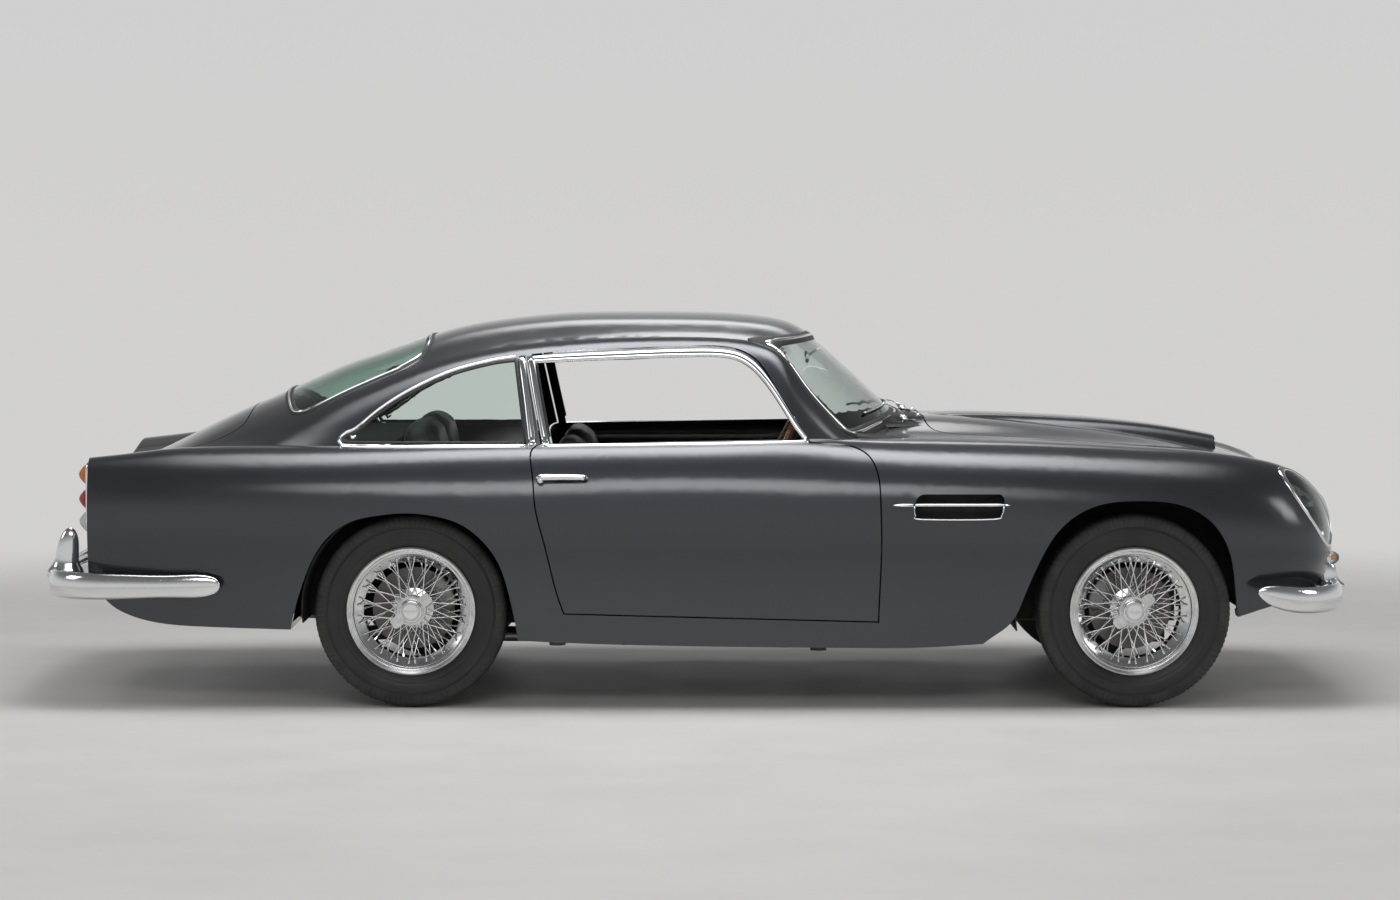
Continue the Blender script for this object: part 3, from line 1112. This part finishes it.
# Steering wheel
# A varnished walnut rim with finger notches and an alloy inlay, on three slotted alloy spokes.
# The plain black boss hides the column's nut. The rim replaces the CAD wheel and turns with its body.

def on_wheel(radius, angle, lift=0.0):
    """A place on the steering wheel, the angle counted from its top."""
    return (wheel_mid + wheel_up * (radius * math.cos(angle)) + wheel_side * (radius * math.sin(angle))
            + wheel_axis * lift)


walnut = material("rim_walnut", (0.23, 0.085, 0.030), 0.28)
tint(walnut, grain(walnut, 18.0, 6.0, (1, 1, 7)), (0.13, 0.040, 0.014), (0.34, 0.145, 0.055))
vary_rough(walnut, grain(walnut, 40.0), 0.2, 0.34)
set_sockets(walnut, {"Coat Weight": 0.6})
alloy = material("spoke_alloy", (0.62, 0.62, 0.61), 0.24, 1.0)
vary_rough(alloy, grain(alloy, 120.0, 2.0, (1, 8, 1)), 0.18, 0.34)
dress(dark, "steering_column")

RAKE = math.radians(27 - 90)
RIM_RADIUS, GRIP_RADIUS, NOTCH_DEPTH = 0.196, 0.0122, 0.0012
INLAY_LIFT, INLAY_RADIUS = 0.0113, 0.0016
wheel_mid = Vector((0.290, -0.360, 0.860))
wheel_axis = Vector((math.sin(RAKE), 0, math.cos(RAKE)))
wheel_side = Vector((0, 1, 0))
wheel_up = wheel_side.cross(wheel_axis).normalized()
verts = []
for k, a in enumerate(turns(120)):
    out = on_wheel(1.0, a) - wheel_mid
    for b in turns(18):
        notched = math.sin(b) < -0.5 and k % 5 == 0
        grip = GRIP_RADIUS - (NOTCH_DEPTH if notched else 0.0)
        verts.append(on_wheel(RIM_RADIUS, a) + out * (grip * math.cos(b))
                     + wheel_axis * (grip * 0.92 * math.sin(b)))
rim = piece("wheel_rim_wood", verts, grid_faces(120, 18, True, True), walnut, "steering_wheel")
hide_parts("steering_wheel")
tube("wheel_rim_inlay", [on_wheel(RIM_RADIUS, a, INLAY_LIFT) for a in turns(96)], INLAY_RADIUS, alloy,
     "steering_wheel", 8, True)

# Slots of a spoke: distance from the boss and half length.
SLOTS = ((0.062, 0.0065), (0.092, 0.0080), (0.122, 0.0095), (0.152, 0.0110))
SPOKE_START, SPOKE_END = 0.030, 0.186
SPOKE_HALF_WIDTH, SPOKE_SPREAD, SPOKE_HALF_THICKNESS, DISH = 0.013, 0.011, 0.0012, 0.020
rows = [SPOKE_START] + [r + d * s for r, d in SLOTS for s in (-1.0, 0.0, 1.0)] + [SPOKE_END]
count = len(rows)
for index, degrees in enumerate((180, 300, 420)):
    along = (on_wheel(1.0, math.radians(degrees)) - wheel_mid).normalized()
    across = wheel_axis.cross(along).normalized()
    verts, faces = [], []
    for top in (SPOKE_HALF_THICKNESS, -SPOKE_HALF_THICKNESS):
        for r in rows:
            half = SPOKE_HALF_WIDTH + SPOKE_SPREAD * (r - SPOKE_START) / (SPOKE_END - SPOKE_START)
            slot = next((d * math.sqrt(max(0.0, 1 - ((r - q) / d) ** 2)) for q, d in SLOTS
                         if abs(r - q) <= d), 0.0)
            slot = max(slot, 0.0004)
            dish = DISH * (1 - r / RIM_RADIUS)
            for s in (-half, -slot, slot, half):
                verts.append(wheel_mid + along * r + across * s + wheel_axis * (top - dish))
    for base in (0, count * 4):
        for i in range(count - 1):
            for j in (0, 2):
                a, b = base + i * 4 + j, base + (i + 1) * 4 + j
                faces.append((a, a + 1, b + 1, b))
    for i in range(count - 1):
        for j in range(4):
            a, b = i * 4 + j, (i + 1) * 4 + j
            faces.append((a, b, b + count * 4, a + count * 4))
    piece("wheel_spoke_%d" % index, verts, faces, alloy, "steering_wheel", False)
BOSS_PROFILE = ((0.034, -0.028), (0.036, -0.020), (0.036, -0.012), (0.033, -0.007), (0.026, -0.003),
                (0.015, 0.000), (0.001, 0.001))
verts = [on_wheel(r, a, up) for r, up in BOSS_PROFILE for a in turns(48)]
piece("wheel_boss", verts, capped(len(BOSS_PROFILE), 48, last=False), dark, "steering_wheel")


# Dashboard
# A hide-covered panel with two large and five small dials in chromed bezels and a row of pull switches.
# The dials' faces carry plain white ticks and a pointer each; the glovebox has a bright seam and a lock.

def on_dash(y, z):
    """Spot and outward normal on the panel's face."""
    spot, normal, _, _ = dash_skin.ray_cast(Vector((0.0, y, z)), Vector((1, 0, 0)))
    return spot, normal if normal.x < 0 else -normal


def dial(index, y, z, radius):
    """One dial: bezel, blank face, ticks and pointer."""
    spot, normal = on_dash(y, z)
    across = Vector((0, 1, 0))
    upward = normal.cross(across).normalized()

    def on_dial(r, angle, lift):
        return spot + across * (r * math.sin(angle)) + upward * (r * math.cos(angle)) + normal * lift

    tube("dial_bezel_%d" % index, [on_dial(radius, a, 0.003) for a in turns(40)], 0.0036, chrome, "body",
         8, True)
    verts = [on_dial(0.0005, 0, 0.002)]
    verts += [on_dial(radius, a, lift) for lift in (0.002, -0.004) for a in turns(40)]
    faces = [(0, 1 + k, 1 + (k + 1) % 40) for k in range(40)] + grid_faces(2, 40, False, True, 1)
    piece("dial_face_%d" % index, verts, faces, dial_black, "body", False)
    # Angle, start and end as shares of the radius, and half width of each tick, then of the pointer.
    marks = [(-2.3 + 4.6 * k / 12, 0.80, 0.92, 0.0011) for k in range(13)]
    marks.append((-1.1 + 0.31 * index, -0.12, 0.72, 0.0014))
    verts, faces = [], []
    for a, near, far, wide in marks:
        base = len(verts)
        sideways = (on_dial(1.0, a + math.pi / 2, 0) - spot) * wide
        for share, s in ((near, -1), (near, 1), (far, 1), (far, -1)):
            corner_point = on_dial(share * radius, a, 0.0032) + sideways * s
            verts += [corner_point, corner_point - normal * 0.0008]
        faces += [tuple(base + k for k in (0, 2, 4, 6)), tuple(base + k for k in (1, 7, 5, 3))]
    piece("dial_marks_%d" % index, verts, faces, dial_white, "body", False)


dress(hide, "dashboard")
dial_black = material("dial_black", (0.012, 0.012, 0.012), 0.5)
tint(dial_black, grain(dial_black, 90.0), (0.009, 0.009, 0.009), (0.016, 0.016, 0.016))
dial_white = material("dial_white", (0.75, 0.75, 0.72), 0.5)
tint(dial_white, grain(dial_white, 90.0), (0.70, 0.70, 0.67), (0.80, 0.80, 0.77))
dash_skin = surface("dashboard")
LARGE, SMALL = 0.052, 0.030
DIALS = ((-0.430, 0.800, LARGE), (-0.290, 0.800, LARGE), (-0.545, 0.790, SMALL), (-0.175, 0.800, SMALL),
         (-0.095, 0.800, SMALL), (-0.015, 0.800, SMALL), (0.065, 0.800, SMALL))
for index, (y, z, radius) in enumerate(DIALS):
    dial(index, y, z, radius)
SWITCH_FROM, SWITCH_PITCH, SWITCH_HEIGHT = -0.150, 0.052, 0.735
for index in range(6):
    spot, normal = on_dash(SWITCH_FROM + SWITCH_PITCH * index, SWITCH_HEIGHT)
    tube("dash_switch_%d" % index, [spot + normal * out for out in (-0.004, 0.004, 0.014, 0.018)],
         [0.0085, 0.0085, 0.0045, 0.0065], chrome, "body", 12)
GLOVEBOX_Y, GLOVEBOX_HEIGHT = 0.370, 0.800
GLOVEBOX_HALF_WIDTH, GLOVEBOX_HALF_HEIGHT, GLOVEBOX_LOCK = 0.165, 0.052, 0.765
seam = []
for a in turns(48):
    y, z = rounded(a, GLOVEBOX_HALF_WIDTH, GLOVEBOX_HALF_HEIGHT, 0.3)
    spot, normal = on_dash(GLOVEBOX_Y + y, GLOVEBOX_HEIGHT + z)
    seam.append(spot + normal * 0.0005)
tube("glovebox_seam", seam, 0.0018, chrome, "body", 6, True)
spot, normal = on_dash(GLOVEBOX_Y, GLOVEBOX_LOCK)
tube("glovebox_lock", [spot + normal * out for out in (0.0, 0.006, 0.009)], [0.011, 0.011, 0.006], chrome,
     "body", 16)


# Gear lever and handbrake
# A chromed lever with a walnut knob rises from a gathered hide boot on the tunnel.
# The handbrake, chromed with a hide grip, lies beside the driver's seat; neither moves.

def on_floor(x, y):
    """The floor pan under a place in the cabin, or None off it."""
    return floor_skin.ray_cast(Vector((x, y, 0.700)), Vector((0, 0, -1)))[0]


floor_skin = surface("floor_pan")
GEAR_X = 0.180
HANDBRAKE_X, HANDBRAKE_Y = 0.020, -0.085
foot = on_floor(GEAR_X, 0.0)
tube("gear_boot", [foot + Vector((0, 0, up)) for up in (-0.002, 0.012, 0.026, 0.042, 0.056)],
     [0.060, 0.056, 0.040, 0.026, 0.014], hide, "body", 24)
stick = [foot + Vector((x, 0, z))
         for x, z in ((0.0, 0.030), (-0.010, 0.080), (-0.030, 0.130), (-0.052, 0.176))]
tube("gear_stick", smooth_line(stick, 6), 0.0058, chrome, "body", 12)
knob = [stick[-1] + Vector((-0.4 * z, 0, z)) for z in (-0.006, 0.0, 0.008, 0.020, 0.032, 0.040, 0.044)]
tube("gear_knob", knob, [0.008, 0.014, 0.020, 0.0235, 0.020, 0.013, 0.004], walnut, "body", 24)
foot = on_floor(HANDBRAKE_X, HANDBRAKE_Y)
lever = [foot + Vector((x, 0, z))
         for x, z in ((0.0, 0.004), (0.030, 0.028), (0.120, 0.052), (0.175, 0.064))]
tube("handbrake_lever", smooth_line(lever, 6), 0.0085, chrome, "body", 12)
tube("handbrake_grip", [lever[2], lever[3], lever[3] + Vector((0.012, 0, 0.003))], [0.0125, 0.0135, 0.006],
     hide, "body", 14)

# Carpets
# Black looped wool carpet over the floor, the tunnel and the footwells, and on the deck behind the seats.
# It is cut to the floor pan's shape and lies on it.

carpet = material("black_carpet", (0.014, 0.014, 0.015), 0.95)
tint(carpet, grain(carpet, 300.0, 2.0), (0.006, 0.006, 0.006), (0.030, 0.030, 0.031))
emboss(carpet, grain(carpet, 700.0, 2.0), 0.8, 0.002)
# Ends along and across the car and the number of rows and columns.
CARPETS = (("carpet_front", -0.560, 0.660, 0.590, 62, 60), ("carpet_deck", -1.120, -0.640, 0.480, 24, 48))
# The carpet's height where no floor lies under it, and the highest that it goes.
BARE_HEIGHT, DECK_HEIGHT = 0.250, 0.60
PILE, THICKNESS = 0.0045, 0.0040
for name, x_from, x_to, half, rows, columns in CARPETS:
    verts = []
    for i in range(rows):
        for j in range(columns):
            x = x_from + (x_to - x_from) * i / (rows - 1)
            y = -half + 2 * half * j / (columns - 1)
            spot = on_floor(x, y)
            z = spot.z if spot is not None else BARE_HEIGHT
            verts.append(Vector((x, y, min(z, DECK_HEIGHT) + PILE)))
    verts, faces = board(verts, rows, columns, Vector((0, 0, -THICKNESS)))
    piece(name, verts, faces, carpet, "body")

# Headliner
# A grey cloth lining stretched on hoops just under the roof, with sewn cross seams.
# It ends short of the window openings, so no paint shows from inside.

lining = material("headliner_cloth", (0.16, 0.155, 0.15), 0.9)
tint(lining, grain(lining, 500.0, 2.0), (0.13, 0.126, 0.12), (0.19, 0.185, 0.18))
emboss(lining, grain(lining, 800.0), 0.4, 0.0008)
roof_skin = surface("roof")
LINING_BACK, LINING_LENGTH, LINING_HALF_WIDTH = -0.900, 1.180, 0.520
SEAM_PITCH, SEAM_HEIGHT, LINING_DROP = 0.295, 0.006, 0.004
rows, columns = 64, 41
verts, missing = [], set()
for i in range(rows):
    x = LINING_BACK + LINING_LENGTH * i / (rows - 1)
    seam = SEAM_HEIGHT * (1 - abs(math.sin(math.pi * (x - LINING_BACK) / SEAM_PITCH))) ** 6
    for j in range(columns):
        y = -LINING_HALF_WIDTH + 2 * LINING_HALF_WIDTH * j / (columns - 1)
        spot = roof_skin.ray_cast(Vector((x, y, 1.050)), Vector((0, 0, 1)))[0]
        if spot is None or spot.z < 1.10:
            missing.add(len(verts))
            verts.append(Vector((x, y, 1.26)))
        else:
            verts.append(spot - Vector((0, 0, LINING_DROP - seam * 0.5)))
faces = [f for f in grid_faces(rows, columns) if not missing.intersection(f)]
piece("headliner", verts, faces, lining, "body")

# Parcel shelf
# A board covered in the same carpet, from the rear seats' backs to the foot of the rear window.
# It rests on ledges at its sides and is trimmed to the body's inside.

shelf_skin = surface("rear_body", "roof", "rear_wheelhouses", "quarter_windows")
SHELF_HEIGHT, SHELF_FRONT, SHELF_LENGTH = 0.905, -1.060, 0.400
SHELF_HALF_WIDTH, SHELF_GAP, SHELF_THICKNESS = 0.640, 0.010, 0.012
verts = []
for i in range(21):
    x = SHELF_FRONT - SHELF_LENGTH * i / 20
    reach = shelf_skin.ray_cast(Vector((x, 0.0, SHELF_HEIGHT)), Vector((0, -1, 0)))[0]
    half = min(SHELF_HALF_WIDTH, abs(reach.y) - SHELF_GAP) if reach is not None else 0.50
    verts += [Vector((x, half * (-1 + k / 8), SHELF_HEIGHT)) for k in range(17)]
verts, faces = board(verts, 21, 17, Vector((0, 0, -SHELF_THICKNESS)))
piece("parcel_shelf", verts, faces, carpet, "body", False)

# Interior mirror
# A small mirror in a chromed case, on a bent stem screwed above the windscreen.
# Its face looks back along the car.

MIRROR_ROOT, MIRROR_HALF_WIDTH, MIRROR_HALF_HEIGHT, MIRROR_BACK = 1.215, 0.098, 0.024, 0.012
screen_inside = surface("windscreen", "roof")
root = screen_inside.ray_cast(Vector((0.0, 0.0, MIRROR_ROOT)), Vector((1, 0, 0)))[0]
stem = [root, root + Vector((-0.030, 0, -0.010)), root + Vector((-0.052, 0, -0.030))]
tube("mirror_stem", smooth_line(stem, 5), 0.0042, chrome, "body", 12)
verts = []
# Depth and share of the full size of each ring of the case.
for depth, grow in ((0.000, 0.001), (0.000, 0.97), (0.003, 1.0), (0.010, 0.96), (0.016, 0.70),
                    (0.018, 0.001)):
    for a in turns(40):
        y, z = rounded(a, MIRROR_HALF_WIDTH * grow, MIRROR_HALF_HEIGHT * grow, 0.55, 0.7)
        verts.append(stem[-1] + Vector((-MIRROR_BACK + depth, y, z)))
piece("mirror_glass", verts, grid_faces(6, 40, False, True), chrome, "body")


# Door furniture
# On each hide-covered door trim: a stuffed arm rest, a chromed pull and a window winder with a black knob,
# a padded roll under the window and a piped seam near the foot. All of it rides on the door.

def inside_door(x, z, lift, sign):
    """A place on the cabin side of a door, or None beside it."""
    spot = trim_skin.ray_cast(Vector((x, -0.30, z)), Vector((0, -1, 0)))[0]
    return None if spot is None else Vector((spot.x, (spot.y + lift) * sign, spot.z))


dress(hide, "door_trim_right", "door_trim_left")
trim_skin = surface("door_trim_right", "door_right")
ROLL_ROWS, ROLL_COLUMNS = 12, 49
ARM_REST_FROM, ARM_REST_LENGTH, ARM_REST_HEIGHT, ARM_REST_OUT = -0.300, 0.340, 0.655, 0.030
INNER_PULL_FROM, INNER_PULL_LENGTH, INNER_PULL_HEIGHT, INNER_PULL_OUT = -0.180, 0.140, 0.735, 0.024
WINDER_X, WINDER_HEIGHT = 0.220, 0.680
ROLL_FROM, ROLL_LENGTH, ROLL_FOOT, ROLL_HEIGHT = -0.500, 0.880, 0.752, 0.142
PIPING_FROM, PIPING_LENGTH, PIPING_HEIGHT, PIPING_SAG = -0.480, 1.000, 0.560, 0.018
for side, sign in SIDES:
    body = "door_" + side
    swell = [math.sin(math.pi * k / 12) for k in range(13)]
    points = [inside_door(ARM_REST_FROM + ARM_REST_LENGTH * k / 12, ARM_REST_HEIGHT + 0.010 * s,
                          ARM_REST_OUT, sign) for k, s in enumerate(swell)]
    arm_rest = tube("door_arm_rest_" + side, points, [0.014 + 0.012 * s ** 0.5 for s in swell],
                    hide, body, 20)
    points = [inside_door(INNER_PULL_FROM + INNER_PULL_LENGTH * k / 10, INNER_PULL_HEIGHT,
                          0.004 + INNER_PULL_OUT * math.sin(math.pi * k / 10), sign) for k in range(11)]
    tube("door_pull_inside_" + side, points, 0.0058, chrome, body, 12)
    root = inside_door(WINDER_X, WINDER_HEIGHT, 0.0, sign)
    out = Vector((0, sign, 0))
    tip = root + out * 0.026 + Vector((0.078, 0, -0.066))
    tube("winder_hub_" + side, [root + out * lift for lift in (-0.002, 0.012, 0.020)],
         [0.022, 0.018, 0.010], chrome, body, 24)
    tube("winder_arm_" + side, [root + out * 0.018, root + out * 0.022 + Vector((0.040, 0, -0.034)), tip],
         [0.0075, 0.0060, 0.0055], chrome, body, 12)
    tube("winder_knob_" + side, [tip + out * lift for lift in (0.0, 0.006, 0.022, 0.028)],
         [0.006, 0.0115, 0.0125, 0.007], dark, body, 16)
    verts = []
    for i in range(ROLL_ROWS):
        t = i / (ROLL_ROWS - 1)
        lift = 0.004 + 0.016 * math.sin(math.pi * min(1.0, t * 1.05) ** 2) ** 0.7
        for j in range(ROLL_COLUMNS):
            x = ROLL_FROM + (ROLL_LENGTH + 0.060 * (1 - t)) * j / (ROLL_COLUMNS - 1)
            verts.append(inside_door(x, ROLL_FOOT + ROLL_HEIGHT * t, lift, sign) or verts[-1])
    piece("door_top_roll_" + side, verts, grid_faces(ROLL_ROWS, ROLL_COLUMNS), hide, body)
    points = [inside_door(PIPING_FROM + PIPING_LENGTH * k / 24,
                          PIPING_HEIGHT - PIPING_SAG * math.sin(math.pi * k / 24), 0.001, sign)
              for k in range(25)]
    tube("door_trim_piping_" + side, [p for p in points if p is not None], 0.0030, hide, body,
         8)

# Camera
# Square on to the car's right side from 12 m, a little above it and looking slightly down.
# Its focal length is the one found from the wheelbase in the photograph, which is 1400 pixels wide.

FOCAL_PIXELS, PHOTO_WIDTH = 3365, 1400
view = bpy.data.cameras.new("camera")
view.sensor_width = 36.0
view.lens = view.sensor_width * FOCAL_PIXELS / PHOTO_WIDTH
view.clip_end = 200
camera = bpy.data.objects.new("camera", view)
scene.collection.objects.link(camera)
camera.location = (0.012, -12.28, 1.615)
camera.rotation_euler = (math.radians(90 - 3.6), 0, 0)
scene.camera = camera

# Studio
# A pale plaster floor that fades into the backdrop, which is a world colour from pale at the horizon to
# dark overhead. One large soft lamp hangs over the car, and four weaker ones stand round it.

scene.view_settings.view_transform = "Standard"
world = bpy.data.worlds.new("studio")
scene.world = world
world.use_nodes = True
air = world.node_tree
heading = air.nodes.new("ShaderNodeTexCoord")
split = air.nodes.new("ShaderNodeSeparateXYZ")
shade = air.nodes.new("ShaderNodeValToRGB")
air.links.new(heading.outputs["Generated"], split.inputs["Vector"])
air.links.new(split.outputs["Z"], shade.inputs["Fac"])
air.links.new(shade.outputs["Color"], air.nodes["Background"].inputs["Color"])
stops = shade.color_ramp.elements
stops[0].position = 0.0
stops[0].color = (0.64, 0.635, 0.625, 1)
stops[1].position = 1.0
stops[1].color = (0.12, 0.12, 0.123, 1)
for height, value in ((0.10, 0.62), (0.22, 0.42), (0.40, 0.20)):
    stop = stops.new(height)
    stop.color = (value, value, value * 1.01, 1)

FLOOR_RADIUS, FADE_FROM, FADE_TO = 14.0, 2.7, 6.6
plaster = material("studio_floor", (0.62, 0.60, 0.575), 0.45)
tint(plaster, grain(plaster, 2.2, 6.0, (1, 1.6, 1)), (0.630, 0.617, 0.594), (0.675, 0.662, 0.640), 0.3, 0.7)
vary_rough(plaster, grain(plaster, 3.0, 5.0), 0.38, 0.6)
tree = plaster.node_tree
place = tree.nodes.new("ShaderNodeTexCoord")
distance = tree.nodes.new("ShaderNodeVectorMath")
distance.operation = "LENGTH"
fade = tree.nodes.new("ShaderNodeMapRange")
fade.inputs["From Min"].default_value = FADE_FROM
fade.inputs["From Max"].default_value = FADE_TO
fade.interpolation_type = "SMOOTHSTEP"
clear = tree.nodes.new("ShaderNodeBsdfTransparent")
blend = tree.nodes.new("ShaderNodeMixShader")
tree.links.new(place.outputs["Object"], distance.inputs[0])
tree.links.new(distance.outputs["Value"], fade.inputs["Value"])
tree.links.new(fade.outputs["Result"], blend.inputs["Fac"])
tree.links.new(tree.nodes["Principled BSDF"].outputs["BSDF"], blend.inputs[1])
tree.links.new(clear.outputs["BSDF"], blend.inputs[2])
tree.links.new(blend.outputs["Shader"], tree.nodes["Material Output"].inputs["Surface"])
mesh = bpy.data.meshes.new("floor")
build = bmesh.new()
bmesh.ops.create_circle(build, cap_ends=True, segments=96, radius=FLOOR_RADIUS)
build.to_mesh(mesh)
build.free()
mesh.materials.append(plaster)
floor = bpy.data.objects.new("floor", mesh)
scene.collection.objects.link(floor)


def maths(tree, operation, first, second):
    """A node that takes a socket and a socket or number."""
    made = tree.nodes.new("ShaderNodeMath")
    made.operation = operation
    tree.links.new(first, made.inputs[0])
    if isinstance(second, float):
        made.inputs[1].default_value = second
    else:
        tree.links.new(second, made.inputs[1])
    return made.outputs["Value"]


def soft_lamp(name, place, aim, size, power):
    """An area lamp whose light falls off towards its edges."""
    lamp = bpy.data.lights.new(name, "AREA")
    lamp.shape = "RECTANGLE"
    lamp.size, lamp.size_y = size
    lamp.energy = power
    lamp.use_nodes = True
    tree = lamp.node_tree
    spread = tree.nodes.new("ShaderNodeNewGeometry")
    axes = tree.nodes.new("ShaderNodeSeparateXYZ")
    tree.links.new(spread.outputs["Parametric"], axes.inputs["Vector"])
    edges = []
    for axis in ("X", "Y"):
        soft = tree.nodes.new("ShaderNodeMapRange")
        soft.interpolation_type = "SMOOTHSTEP"
        soft.inputs["From Min"].default_value = 0.0
        soft.inputs["From Max"].default_value = 0.42
        tree.links.new(maths(tree, "PINGPONG", axes.outputs[axis], 0.5), soft.inputs["Value"])
        edges.append(soft.outputs["Result"])
    gain = maths(tree, "MULTIPLY", maths(tree, "MULTIPLY", *edges), 2.0)
    tree.links.new(gain, tree.nodes["Emission"].inputs["Strength"])
    lit = bpy.data.objects.new(name, lamp)
    scene.collection.objects.link(lit)
    lit.location = place
    lit.rotation_euler = (Vector(aim) - Vector(place)).to_track_quat("-Z", "Y").to_euler()


soft_lamp("overhead", (0.0, -0.6, 4.6), (0.0, -0.2, 0.0), (8.0, 3.4), 330.0)
soft_lamp("near_side", (-0.4, -7.0, 4.4), (0.0, 0.0, 0.4), (7.5, 2.6), 150.0)
soft_lamp("far_side", (0.2, 6.6, 5.2), (0.0, 0.0, 0.4), (7.0, 2.4), 60.0)
soft_lamp("nose", (7.0, -2.0, 3.4), (1.5, 0.0, 0.5), (2.6, 2.8), 50.0)
soft_lamp("tail", (-7.0, -1.8, 3.4), (-1.5, 0.0, 0.5), (2.6, 2.8), 50.0)
